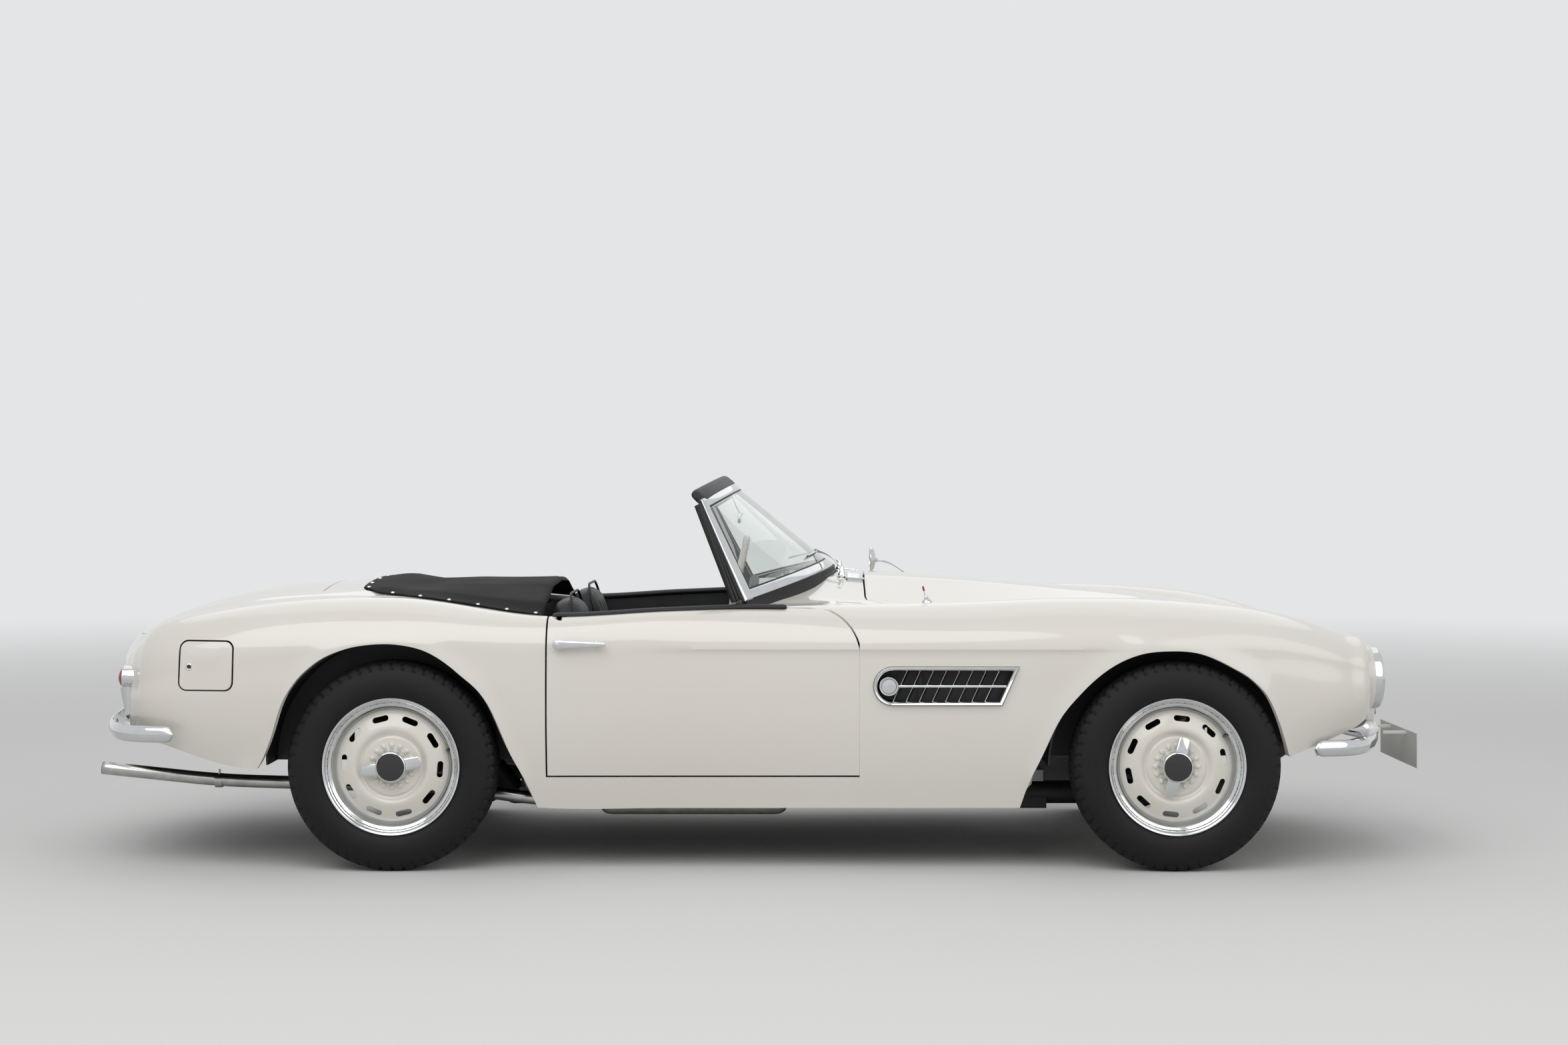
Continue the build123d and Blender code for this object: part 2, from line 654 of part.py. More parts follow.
def tyre():
    return turned(TYRE_PROFILE + [(radius, -offset_) for radius, offset_ in reversed(TYRE_PROFILE)])


front_place = Pos(FRONT_AXLE_X, -FRONT_TRACK / 2, AXLE_Z)
rear_place = Pos(REAR_AXLE_X, -REAR_TRACK / 2, AXLE_Z)
add_pair("wheel_front", front_place * wheel(15))
add_pair("wheel_rear", rear_place * wheel(80))
add_pair("tyre_front", front_place * tyre())
add_pair("tyre_rear", rear_place * tyre())

# Exhaust, one pipe on each side
PIPE_RADIUS = 21
PIPE_Y = 480
MANIFOLD = (780, -285, 480)
PIPE_POINTS = [(560, 190), (-700, 190), (-1000, 232), (-1760, 255), (-2150, 296)]
MUFFLER = ((-520, 90), 46)


def exhaust():
    points = [MANIFOLD] + [(x, -PIPE_Y, z) for x, z in PIPE_POINTS]
    side = rod(points[0], points[1], PIPE_RADIUS)
    for start, end in zip(points[1:], points[2:]):
        side = side + Pos(*start) * Sphere(PIPE_RADIUS) + rod(start, end, PIPE_RADIUS)
    (x0, x1), radius = MUFFLER
    pipe_z = PIPE_POINTS[0][1]
    side = side + rod((x0, -PIPE_Y, pipe_z), (x1, -PIPE_Y, pipe_z), radius)
    hanger = block((x0 - 60, -PIPE_Y - 8, pipe_z), (x0 - 40, -PIPE_Y + 8, FLOOR_Z - SEAT_CLEARANCE))
    end_x, end_z = PIPE_POINTS[-1]
    mouth = rod((end_x + 120, -PIPE_Y, end_z - 12.6), (end_x - 10, -PIPE_Y, end_z + 1.05), PIPE_RADIUS - 3)
    return side + hanger - mouth


add("exhaust", pair(exhaust()))

# Bumpers, lamps and plate
BLADE = (9, 26)
FRONT_BLADE = [(1753, 742), (1950, 700), (2085, 470), (2130, 0)]
FRONT_BLADE_Z = 385
REAR_BLADE = [(-1849, 775), (-2065, 745), (-2190, 480), (-2201, 0)]
REAR_BLADE_Z = 433


def blade(points, z):
    """A slim blade wrapped round the end of the body, from one side to the other."""
    right = [(x, -w, z) for x, w in points]
    across_points = right + [(x, w, z) for x, w in reversed(points[:-1])]
    path = FilletPolyline(*across_points, radius=110)
    start = Plane(origin=path @ 0, z_dir=path % 0, x_dir=(0, 0, 1))
    return sweep(start * Ellipse(BLADE[1], BLADE[0]), path=path)


IRON_RADIUS = 11
REAR_IRON_BEND = (-2100, -RAIL_Y, 402)
rail_front, rail_rear = RAIL_POINTS[0], RAIL_POINTS[-1]
front_irons = rod((rail_front[0] + 7.5, -RAIL_Y, rail_front[1]), (2094, -RAIL_Y, FRONT_BLADE_Z), IRON_RADIUS)
add("bumper_front", blade(FRONT_BLADE, FRONT_BLADE_Z) + both(front_irons))
rear_irons = rod((rail_rear[0] - 3, -RAIL_Y, rail_rear[1] - 22), REAR_IRON_BEND, IRON_RADIUS)
rear_irons = rear_irons + Pos(*REAR_IRON_BEND) * Sphere(IRON_RADIUS)
rear_irons = rear_irons + rod(REAR_IRON_BEND, (-2192, -RAIL_Y, REAR_BLADE_Z - 12), IRON_RADIUS)
add("bumper_rear", blade(REAR_BLADE, REAR_BLADE_Z) + both(rear_irons))

PLATE = (520, 117, 3)
PLATE_X = 2210
PLATE_Z = 327
plate = Pos(PLATE_X - PLATE[2] / 2, 0, PLATE_Z) * Box(PLATE[2], PLATE[0], PLATE[1])
for y in (-110, 110):
    plate = plate + block((2120, y - 12, 372), (PLATE_X - PLATE[2] + 0.1, y + 12, 380))
add("number_plate", largest(plate - pieces["bumper_front"]))


def grille():
    ring = along_x(grille_outline(), *GRILLE_X) - along_x(grille_outline(-9), GRILLE_X[0] - 1, GRILLE_X[1] + 1)
    pitch = (GRILLE_Y[1] - GRILLE_Y[0]) / GRILLE_BARS
    for i in range(1, GRILLE_BARS):
        y = -GRILLE_Y[0] - i * pitch
        bar = block((GRILLE_X[0] + 8, y - 2.5, GRILLE_Z[0] - 5), (GRILLE_X[0] + 34, y + 2.5, GRILLE_Z[1] + 5))
        ring = ring + (bar & along_x(grille_outline(-1), *GRILLE_X))
    return ring


add("grilles", pair(grille()))


def headlamp():
    """A bucket, a bright ring and a domed lens, turned about the lamp's axis. Columns: radius, place along it"""
    r = HEADLAMP_RADIUS
    bucket = [(0, -110), (0.7 * r, -110), (r - 4, -40), (r - 4, 0)]
    ring = [(r, 2), (r, 12), (r - 10, 16)]
    lens = [(0.75 * r, 22), (0.4 * r, 28), (0, 30)]
    face = make_face(Polyline(*[(radius, along, 0) for radius, along in bucket + ring + lens], close=True))
    return Pos(HEADLAMP[0], -HEADLAMP[1], HEADLAMP[2]) * Rot(0, 0, -90) * revolve(face, Axis.Y)


add("headlamps", pair(headlamp()))


def bullet(length, radius):
    """A pointed shell with a domed lens, along the Y axis, lens forwards. Columns: radius, place along the axis"""
    lens = [(0, 0), (0.5 * radius, -3), (0.85 * radius, -11), (radius, -22)]
    shell = [(1, -0.3), (0.82, -0.6), (0.45, -0.87), (0, -1)]
    points = lens + [(share * radius, along * length) for share, along in shell]
    return revolve(make_face(Polyline(*[(r, along, 0) for r, along in points], close=True)), Axis.Y)


x, w, z = INDICATOR
indicator = Pos(x, -w, z) * Rot(0, 0, -90) * bullet(INDICATOR_LENGTH, INDICATOR_RADIUS)
stem = rod((x - 8, -w - 12, z - 8), (x - 8, -w - 20, FRONT_BLADE_Z + 8), 7)
add("indicators", pair(largest(indicator + stem - pieces["bumper_front"])))
x, w, z = TAIL_LAMP
add("tail_lamps", pair(rod((x + 40, -w, z), (x - 34, -w, z), TAIL_LAMP_RADIUS)))


def side_vent():
    """Frame, slanted slats and a bar along the middle, set in the wing's opening."""
    deep = (768, 797)
    frame = across(vent_outline(), *deep) - across(vent_outline(-9), deep[0] - 1, deep[1] + 1)
    opening = across(vent_outline(-4), *deep)
    middle = sum(VENT_Z) / 2
    frame = frame + (block((VENT_X[0], -790, middle - 5), (VENT_X[1], -774, middle + 5)) & opening)
    for i in range(VENT_SLATS):
        x0 = VENT_X[0] + 50 + i * 45
        corners = [(x0, VENT_Z[0]), (x0 + 7, VENT_Z[0]), (x0 + 7 + VENT_SLANT, VENT_Z[1]), (x0 + VENT_SLANT, VENT_Z[1])]
        frame = frame + (across(side_face(corners), 772, 788) & opening)
    return frame


add("side_vents", pair(side_vent()))

# Windscreen: a bent glass between a base line on the cowl and a header
SCREEN_BASE = ((SCREEN_POST_X, 668, 848), (248, 0, 940))
SCREEN_TOP = ((-188, 600, 1169), (-96, 0, 1222))
GLASS = 6
FRAME_RADIUS = 11


def bow(line, back=0.0, drop=0.0):
    """The bent line from one side to the other, moved back in its own plane and straight down."""
    (xs, w, zs), (xm, _, zm) = line
    lean = math.hypot(xm - xs, zm - zs)
    shift = (back * (xs - xm) / lean, back * (zs - zm) / lean - drop)
    x_end, z_end = xs + shift[0], zs + shift[1]
    middle = Vector(xm + shift[0], 0, zm + shift[1])
    return Edge.make_three_point_arc(Vector(x_end, -w, z_end), middle, Vector(x_end, w, z_end))


def strip(line, front, back, drop=0.0):
    """The flat outline of a bent strip, from front to back of a bow."""
    a, b = bow(line, -front, drop), bow(line, back, drop)
    return Wire([a, Edge.make_line(a @ 1, b @ 1), b, Edge.make_line(b @ 0, a @ 0)])


def pane(half):
    """The bent pane from the base line to the header, as thick as twice half."""
    return Solid.make_loft([strip(SCREEN_BASE, half, half), strip(SCREEN_TOP, half, half)], ruled=True)


glass = pane(GLASS / 2)
add("windscreen_glass", glass)


def windscreen_frame():
    base, top = bow(SCREEN_BASE), bow(SCREEN_TOP)
    frame = None
    for edge in (base, top, Edge.make_line(base @ 0, top @ 0), Edge.make_line(base @ 1, top @ 1)):
        run = tube_along(Wire([edge]), FRAME_RADIUS)
        frame = run if frame is None else frame + run
    for point in (base @ 0, base @ 1, top @ 0, top @ 1):
        frame = frame + Pos(*point) * Sphere(FRAME_RADIUS)
    gasket = Solid.make_loft([strip(SCREEN_BASE, 8, 8), strip(SCREEN_BASE, 8, 8, 70)], ruled=True)
    return frame + gasket - pane(GLASS / 2 + 0.2) - outer - left(outer)


screen = largest(windscreen_frame())
add("windscreen_frame", screen)

# Cabin
SEAT_Y = 385
SEAT_WIDTH = 430
SEAT_PROFILE = [
    (-70, 330), (-52, 400), (-75, 432), (-470, 398), (-585, 850), (-625, 885), (-668, 875), (-680, 840), (-600, 330),
]
seat = across(side_face(SEAT_PROFILE), SEAT_Y - SEAT_WIDTH / 2, SEAT_Y + SEAT_WIDTH / 2)
for y in (-SEAT_Y - 150, -SEAT_Y + 150):
    seat = seat + block((-560, y - 20, FLOOR_Z + FLOOR_THICK + SEAT_CLEARANCE), (-110, y + 20, 335))
add_pair("seat", seat)
dash_half = room & across(side_face([(300, 640), (300, 940), (-25, 940), (-5, 760), (50, 640)]), -1, 650)
dashboard = both(largest(dash_half)) - screen
dashboard = largest(dashboard)
add("dashboard", dashboard)

STEERING = (-95, 360, 832)
STEERING_RADIUS = 205
STEERING_TILT = 12
COLUMN_RADIUS = 24
SHAFT_RADIUS = 10
steering_place = Pos(*STEERING) * Rot(0, 90 + STEERING_TILT, 0)
rim = Torus(STEERING_RADIUS, 12)
hub = Pos(0, 0, 10) * Cylinder(42, 50) - Pos(0, 0, 30) * Cylinder(SHAFT_RADIUS + RUNNING_CLEARANCE, 60)
spokes = None
for angle in (0, 120, 240):
    spoke = Rot(0, 0, angle + 60) * block((30, -14, -4), (STEERING_RADIUS, 14, 4))
    spokes = spoke if spokes is None else spokes + spoke
add("steering_wheel", steering_place * (rim + hub + spokes))
column = Pos(0, 0, 140) * Cylinder(COLUMN_RADIUS, 200) + Pos(0, 0, 35) * Cylinder(SHAFT_RADIUS, 66)
column = steering_place * column - dashboard
add("steering_column", largest(column & block((-300, 0, 0), (300, 900, 1500))))

fit_cockpit = tall(offset(cockpit_outline(), -FIT_GAP, kind=Kind.INTERSECTION), 500)
tonneau = (half_envelope(3) - half_envelope(15)) & fit_cockpit & block((-1400, -900, 500), (-690, 1, 1500))
add("tonneau_cover", both(largest(tonneau)))

# Handles and mirrors
# The handle's two ends in the side view. Columns: x, radius
HANDLE_ENDS = ((-634, 15.5), (-487, 7))
HANDLE_Z = 719.5
HANDLE_Y = (800, 812)
grip_face = make_hull([edge for x, radius in HANDLE_ENDS for edge in (Pos(x, HANDLE_Z) * Circle(radius)).edges()])
handle = across(Plane.XZ * grip_face, *HANDLE_Y)
for x in (-625, -510):
    handle = handle + rod((x, -HANDLE_Y[0] - 6, HANDLE_Z), (x, -700, HANDLE_Z), 7)
add_pair("door_handle", largest(handle - outer))
mirror_stalk = rod((-96, 0, 1222), (-70, 0, 1120), 5)
inside_mirror = block((-82, -85, 1090), (-66, 85, 1132)) + mirror_stalk - screen - pane(GLASS / 2 + FIT_GAP)
wing_mirror = rod((395, 550, 948), (415, 550, 948), 48) + rod((410, 550, 940), (600, 552, 836), 6)
wing_mirror = largest(wing_mirror - left(outer))
add("mirrors", Compound(children=[largest(inside_mirror), wing_mirror]))

os.makedirs("parts", exist_ok=True)
for name, shape in pieces.items():
    export_step(shape, f"parts/{name}.step")
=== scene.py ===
"""The finish of an open two-seat roadster in ivory paint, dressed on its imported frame, in metres."""

import math

import bmesh
import bpy
import numpy as np
from mathutils import Matrix, Vector


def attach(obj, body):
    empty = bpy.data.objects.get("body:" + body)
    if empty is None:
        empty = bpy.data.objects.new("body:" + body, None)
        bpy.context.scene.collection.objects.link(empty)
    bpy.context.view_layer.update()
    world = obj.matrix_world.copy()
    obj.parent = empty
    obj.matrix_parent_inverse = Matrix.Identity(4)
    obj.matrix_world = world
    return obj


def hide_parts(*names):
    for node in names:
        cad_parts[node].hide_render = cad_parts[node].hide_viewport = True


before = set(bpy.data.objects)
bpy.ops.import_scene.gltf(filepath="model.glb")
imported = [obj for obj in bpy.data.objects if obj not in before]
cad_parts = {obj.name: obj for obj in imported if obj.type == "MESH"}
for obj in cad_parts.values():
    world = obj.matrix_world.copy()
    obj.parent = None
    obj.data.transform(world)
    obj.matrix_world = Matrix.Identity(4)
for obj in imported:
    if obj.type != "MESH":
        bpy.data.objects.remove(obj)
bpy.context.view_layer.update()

# Chassis, floor and running gear: welded steel tube and pressings, brushed with black chassis paint that has
# gone a little dusty underneath. The engine is a plain cast alloy block.
UNDERSIDE = ["chassis_frame", "floor_pan", "inner_panels", "front_suspension", "rear_axle", "driveline",
             "knuckle_r", "knuckle_l"]


def linear(hex_colour):
    """An sRGB hex colour as linear red, green, blue and alpha."""
    channels = [int(hex_colour[i:i + 2], 16) / 255 for i in (1, 3, 5)]
    return [c / 12.92 if c <= 0.04045 else ((c + 0.055) / 1.055) ** 2.4 for c in channels] + [1.0]


def add_node(tree, kind, links=None, **settings):
    """Adds a node, sets its properties and inputs by name, and links sockets into its inputs."""
    made = tree.nodes.new(kind)
    for name, value in settings.items():
        if hasattr(made, name):
            setattr(made, name, value)
        else:
            made.inputs[name.replace("_", " ")].default_value = value
    for name, source in (links or {}).items():
        tree.links.new(source, made.inputs[name])
    return made


def new_material(name, **sockets):
    """A material with one principled shader and its output, whose plain sockets are set here."""
    material = bpy.data.materials.new(name)
    material.use_nodes = True
    tree = material.node_tree
    tree.nodes.clear()
    shader = tree.nodes.new("ShaderNodeBsdfPrincipled")
    output = tree.nodes.new("ShaderNodeOutputMaterial")
    tree.links.new(shader.outputs[0], output.inputs[0])
    for socket, value in sockets.items():
        shader.inputs[socket.replace("_", " ")].default_value = value
    return material, tree, shader


def mottle(tree, shader, colours, size_mm, roughness=None, bump_mm=0.0, detail=3.0):
    """Lets a noise of a real size vary the colour, the roughness and the height of a surface."""
    place = add_node(tree, "ShaderNodeTexCoord")
    noise = add_node(tree, "ShaderNodeTexNoise", {"Vector": place.outputs["Object"]}, Scale=1000 / size_mm,
                     Detail=detail)
    ramp = add_node(tree, "ShaderNodeValToRGB", {"Fac": noise.outputs["Fac"]})
    ramp.color_ramp.elements[0].position = 0.3
    ramp.color_ramp.elements[1].position = 0.7
    ramp.color_ramp.elements[0].color = linear(colours[0])
    ramp.color_ramp.elements[1].color = linear(colours[1])
    tree.links.new(ramp.outputs["Color"], shader.inputs["Base Color"])
    if roughness:
        span = add_node(tree, "ShaderNodeMapRange", {"Value": noise.outputs["Fac"]}, To_Min=roughness[0],
                        To_Max=roughness[1])
        tree.links.new(span.outputs["Result"], shader.inputs["Roughness"])
    if bump_mm:
        bump = add_node(tree, "ShaderNodeBump", {"Height": noise.outputs["Fac"]}, Strength=0.6,
                        Distance=bump_mm / 1000)
        tree.links.new(bump.outputs["Normal"], shader.inputs["Normal"])
    return noise


# Brushed chassis paint: satin black, faintly grey where dust lies
chassis_paint, tree, shader = new_material("chassis_paint", Roughness=0.5)
mottle(tree, shader, ("#0B0B0B", "#1C1B1A"), 60, (0.42, 0.65), 0.4)
for node in UNDERSIDE:
    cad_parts[node].data.materials.clear()
    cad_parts[node].data.materials.append(chassis_paint)

# Sand cast alloy: dull, with a fine grain
cast_alloy, tree, shader = new_material("cast_alloy", Metallic=1.0, Roughness=0.5)
mottle(tree, shader, ("#7C7D7E", "#A3A4A5"), 3, (0.4, 0.6), 0.3)
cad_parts["engine"].data.materials.clear()
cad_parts["engine"].data.materials.append(cast_alloy)

# Body skin: steel panels pressed over one smooth form, welded to the frame and sprayed in gloss ivory.
# The form is given by half sections from nose to tail, and the panels end on the real shut lines with
# a rolled return.
# Columns, in mm: station, height of the centre line, then width and height of the hood ridge, of the
# valley beside it, of the wing's crown, of the side crease, of the widest line and of the lower edge.
SECTIONS = np.array([
    (2095, 622, 90, 621, 200, 617, 290, 608, 385, 562, 400, 520, 370, 432),
    (2060, 655, 105, 653, 250, 645, 370, 650, 500, 590, 515, 535, 470, 445),
    (1995, 690, 120, 687, 300, 674, 535, 712, 664, 620, 670, 570, 615, 474),
    (1880, 729, 140, 725, 340, 712, 535, 746, 725, 650, 735, 565, 680, 435),
    (1700, 774, 160, 770, 375, 757, 560, 803, 768, 690, 778, 580, 735, 366),
    (1320, 845, 185, 839, 430, 805, 580, 851, 800, 703, 806, 600, 765, 250),
    (1000, 878, 195, 871, 455, 820, 590, 857, 790, 703, 792, 560, 742, 205),
    (600, 911, 205, 904, 480, 826, 602, 843, 782, 703, 786, 550, 735, 197),
    (350, 924, 215, 915, 500, 836, 615, 838, 780, 703, 786, 550, 735, 197),
    (100, 925, 300, 906, 550, 852, 650, 836, 780, 703, 787, 550, 735, 197),
    (-300, 905, 300, 892, 590, 842, 700, 820, 783, 703, 790, 550, 735, 197),
    (-670, 898, 300, 888, 570, 838, 695, 803, 787, 695, 792, 550, 738, 197),
    (-1160, 905, 300, 896, 500, 878, 620, 860, 802, 715, 812, 600, 770, 260),
    (-1420, 894, 300, 885, 490, 868, 605, 856, 792, 690, 802, 570, 760, 305),
    (-1700, 867, 285, 858, 465, 842, 585, 826, 765, 660, 775, 550, 735, 335),
    (-1920, 812, 265, 804, 430, 792, 550, 780, 718, 630, 730, 540, 690, 400),
    (-2060, 757, 240, 751, 390, 741, 495, 728, 648, 600, 662, 530, 625, 425),
    (-2130, 712, 215, 708, 345, 700, 440, 690, 575, 590, 590, 530, 560, 432),
    (-2160, 672, 180, 669, 290, 662, 370, 652, 485, 575, 500, 530, 470, 440),
], dtype=float)[::-1]
PANEL_GAP = 5.5
DOOR_INNER = 690
DOOR_X = (-668, 319)
DOOR_BOTTOM = 303
HOOD_X = (350, 1960)
TRUNK_X = (-2112, -1440)
COCKPIT_REAR = -1310
CREASE = 4.0


def smooth(x, low, high):
    """0 below low, 1 above high, with a smooth run between."""
    t = np.clip((x - low) / (high - low), 0, 1)
    return t * t * (3 - 2 * t)


def through(stations, values, x):
    """A smooth line through a table: cubic pieces with slopes from the neighbours."""
    stations, values = np.asarray(stations, float), np.asarray(values, float)
    step = np.diff(stations)
    slope = np.diff(values) / step
    bend = np.empty_like(values)
    bend[1:-1] = (slope[:-1] * step[1:] + slope[1:] * step[:-1]) / (step[:-1] + step[1:])
    bend[0], bend[-1] = slope[0], slope[-1]
    i = np.clip(np.searchsorted(stations, x) - 1, 0, len(step) - 1)
    t = np.clip((x - stations[i]) / step[i], 0, 1)
    return ((1 + 2 * t) * (1 - t) ** 2 * values[i] + t * (1 - t) ** 2 * step[i] * bend[i]
            + t * t * (3 - 2 * t) * values[i + 1] + t * t * (t - 1) * step[i] * bend[i + 1])


# Wheel arches in the side view, x and z
FRONT_ARCH = [(826, 190), (855, 279), (888, 352), (946, 477), (1014, 563), (1100, 640), (1197, 687),
              (1293, 699), (1389, 691), (1486, 650), (1563, 600), (1611, 544), (1649, 457), (1669, 400),
              (1692, 330)]
REAR_ARCH = [(-1650, 300), (-1580, 335), (-1540, 420), (-1506, 524), (-1465, 595), (-1404, 656),
             (-1313, 702), (-1221, 720), (-1140, 720), (-1038, 694), (-947, 631), (-845, 519), (-784, 376),
             (-728, 265), (-700, 190)]


def arch_height(x):
    """The lowest height that the skin reaches at a station: the edge of a wheel arch, or nothing."""
    height = np.full(np.shape(x), -1000.0)
    for arch in (FRONT_ARCH, REAR_ARCH):
        stations = [p[0] for p in arch]
        inside = (x > stations[0]) & (x < stations[-1])
        height = np.where(inside, through(stations, [p[1] for p in arch], np.asarray(x, float)), height)
    return height


def cubic(a, b, c, d, t):
    return (1 - t) ** 3 * a + 3 * t * (1 - t) ** 2 * b + 3 * t * t * (1 - t) * c + t**3 * d


def skin(x, t):
    """Width and height of the skin at station x and place t round the half section: 0 the centre line,
    1 the hood ridge, 2 the valley, 3 the wing's crown, 4 the side crease, 5 the widest line and 6 the
    lower edge."""
    x, t = np.broadcast_arrays(np.asarray(x, float), np.asarray(t, float))
    traced = [through(SECTIONS[:, 0], SECTIONS[:, i], x) for i in range(1, 14)]
    zc, wr, zr, wv, zv, ww, zw, wk, zk, wm, zm, wb, zb = traced
    rise, drop = ww - wv, zw - zk
    spans = [
        ((0 * wr, zc), (wr / 3, zc), (wr * 2 / 3, zc - (zc - zr) * 0.4), (wr, zr)),
        ((wr, zr), (wr + (wv - wr) / 3, zr + (zv - zr) / 3),
         (wr + (wv - wr) * 2 / 3, zr + (zv - zr) * 2 / 3), (wv, zv)),
        ((wv, zv), (wv + 0.35 * rise, zv + 0.45 * (zw - zv)), (ww - 0.45 * rise, zw), (ww, zw)),
        ((ww, zw), (ww + 0.62 * (wk - ww), zw), (wk - 2, zk + 0.45 * drop), (wk, zk)),
        ((wk, zk), (wk + 2, zk - 0.4 * (zk - zm)), (wm, zm + 0.4 * (zk - zm)), (wm, zm)),
        ((wm, zm), (wm, zm - 0.45 * (zm - zb)), (wb + 0.5 * (wm - wb), zb + 0.3 * (zm - zb)), (wb, zb)),
    ]
    w, z = np.zeros(x.shape), np.zeros(x.shape)
    for i, corners in enumerate(spans):
        here = (t >= i) & ((t < i + 1) | (i == 5))
        local = np.clip(t - i, 0, 1)
        w = np.where(here, cubic(*[c[0] for c in corners], local), w)
        z = np.where(here, cubic(*[c[1] for c in corners], local), z)
    # the pressed crease along the side, and the flared lips of the wheel arches
    reach = np.where(z >= zk, 60, 9)
    crease = 5 * smooth(x, -460, -150) * (1 - smooth(x, 980, 1200))
    crease = crease * np.clip(1 - np.abs(z - zk) / reach, 0, 1)
    edge = z - arch_height(x)
    lip = 9 * np.exp(-(np.clip(edge, 0, 400) / 42) ** 2) * (arch_height(x) > 250)
    side = smooth(t, 3.2, 3.9)
    return w + crease * side + lip * side, z


def place_at_height(x, z, start=3.0, end=6.0):
    """The place t where the side of the skin has height z, for each station."""
    low, high = np.full(np.shape(x), start), np.full(np.shape(x), end)
    for _ in range(40):
        middle = (low + high) / 2
        above = skin(x, middle)[1] > z
        low, high = np.where(above, middle, low), np.where(above, high, middle)
    return (low + high) / 2


def place_at_width(x, w, start=2.0, end=4.0):
    """The place t where the upper side of the skin has width w, for each station."""
    low, high = np.full(np.shape(x), start), np.full(np.shape(x), end)
    for _ in range(40):
        middle = (low + high) / 2
        inside = skin(x, middle)[0] < w
        low, high = np.where(inside, middle, low), np.where(inside, high, middle)
    return (low + high) / 2


def patch(x, t, side=-1):
    """Points in metres of a grid of stations and places, on the right side or the left."""
    w, z = skin(x, t)
    return np.stack([x, side * w, z], axis=-1) / 1000


def grid_faces(rows, columns, start=0, turn=False):
    faces = []
    for i in range(rows - 1):
        for j in range(columns - 1):
            a = start + i * columns + j
            quad = (a, a + 1, a + columns + 1, a + columns)
            faces.append(quad[::-1] if turn else quad)
    return faces


def mesh_object(name, points, faces, material, merge=0.0004, sharp=32):
    """A mesh object at the origin, with merged seams and smooth faces apart from its sharp edges."""
    mesh = bpy.data.meshes.new(name)
    mesh.from_pydata([tuple(p) for p in points], [], faces)
    shape = bmesh.new()
    shape.from_mesh(mesh)
    if merge:
        bmesh.ops.remove_doubles(shape, verts=shape.verts, dist=merge)
    bmesh.ops.dissolve_degenerate(shape, edges=shape.edges, dist=1e-6)
    bmesh.ops.recalc_face_normals(shape, faces=shape.faces)
    shape.to_mesh(mesh)
    shape.free()
    mesh.polygons.foreach_set("use_smooth", [True] * len(mesh.polygons))
    mesh.set_sharp_from_angle(angle=math.radians(sharp))
    piece = bpy.data.objects.new(name, mesh)
    bpy.context.scene.collection.objects.link(piece)
    mesh.materials.append(material)
    return piece


def round_edges(piece, width_mm, segments=2):
    """Rounds the sharp edges of a piece."""
    rounder = piece.modifiers.new("edge", "BEVEL")
    rounder.width = width_mm / 1000
    rounder.segments = segments
    rounder.limit_method = "ANGLE"
    rounder.angle_limit = math.radians(50)
    rounder.harden_normals = True


def finish_mesh(piece):
    """Makes the modifiers of a piece part of its mesh."""
    bpy.context.view_layer.update()
    evaluated = piece.evaluated_get(bpy.context.evaluated_depsgraph_get())
    mesh = bpy.data.meshes.new_from_object(evaluated)
    piece.modifiers.clear()
    piece.data = mesh


def swept_ends(points):
    """Points in metres, with the corners of the nose and the tail swept in, as seen from above."""
    points = np.array(points, float)
    x, w = points[..., 0] * 1000, np.abs(points[..., 1]) * 1000
    tail = 95 * np.clip(w / 480, 0, 1) ** 1.5 * smooth(-x, 1900, 2160)
    nose = 72 * np.clip(w / 380, 0, 1) ** 1.4 * smooth(x, 1900, 2090)
    points[..., 0] += (tail - nose) / 1000
    return points


def prism(outline, start, end, axis):
    """Points and faces of an outline, given in the two other coordinates, pushed along an axis."""
    flat = np.asarray(outline, float)
    layers = [np.insert(flat, axis, place, axis=1) for place in (start, end)]
    n = len(flat)
    sides = [(i, (i + 1) % n, n + (i + 1) % n, n + i) for i in range(n)]
    return np.concatenate(layers) / 1000, sides + [tuple(range(n))[::-1], tuple(range(n, 2 * n))]


def joined(parts):
    """Several sets of points and faces as one."""
    points, faces = [], []
    for some_points, some_faces in parts:
        start = len(points)
        points += [tuple(p) for p in some_points]
        faces += [tuple(start + i for i in face) for face in some_faces]
    return points, faces


def rounded_outline(low, high, radius, steps=8):
    """Corner points of a rectangle with round corners."""
    points = []
    corners = [(high[0], high[1]), (low[0], high[1]), (low[0], low[1]), (high[0], low[1])]
    for quarter, (x, z) in enumerate(corners):
        centre = (x - radius * (1 if x == high[0] else -1), z - radius * (1 if z == high[1] else -1))
        for k in range(steps + 1):
            angle = math.pi / 2 * (quarter + k / steps)
            points.append((centre[0] + radius * math.cos(angle), centre[1] + radius * math.sin(angle)))
    return points


def disc_outline(centre, radius, steps=64):
    angles = [2 * math.pi * k / steps for k in range(steps)]
    return [(centre[0] + radius * math.cos(angle), centre[1] + radius * math.sin(angle)) for angle in angles]


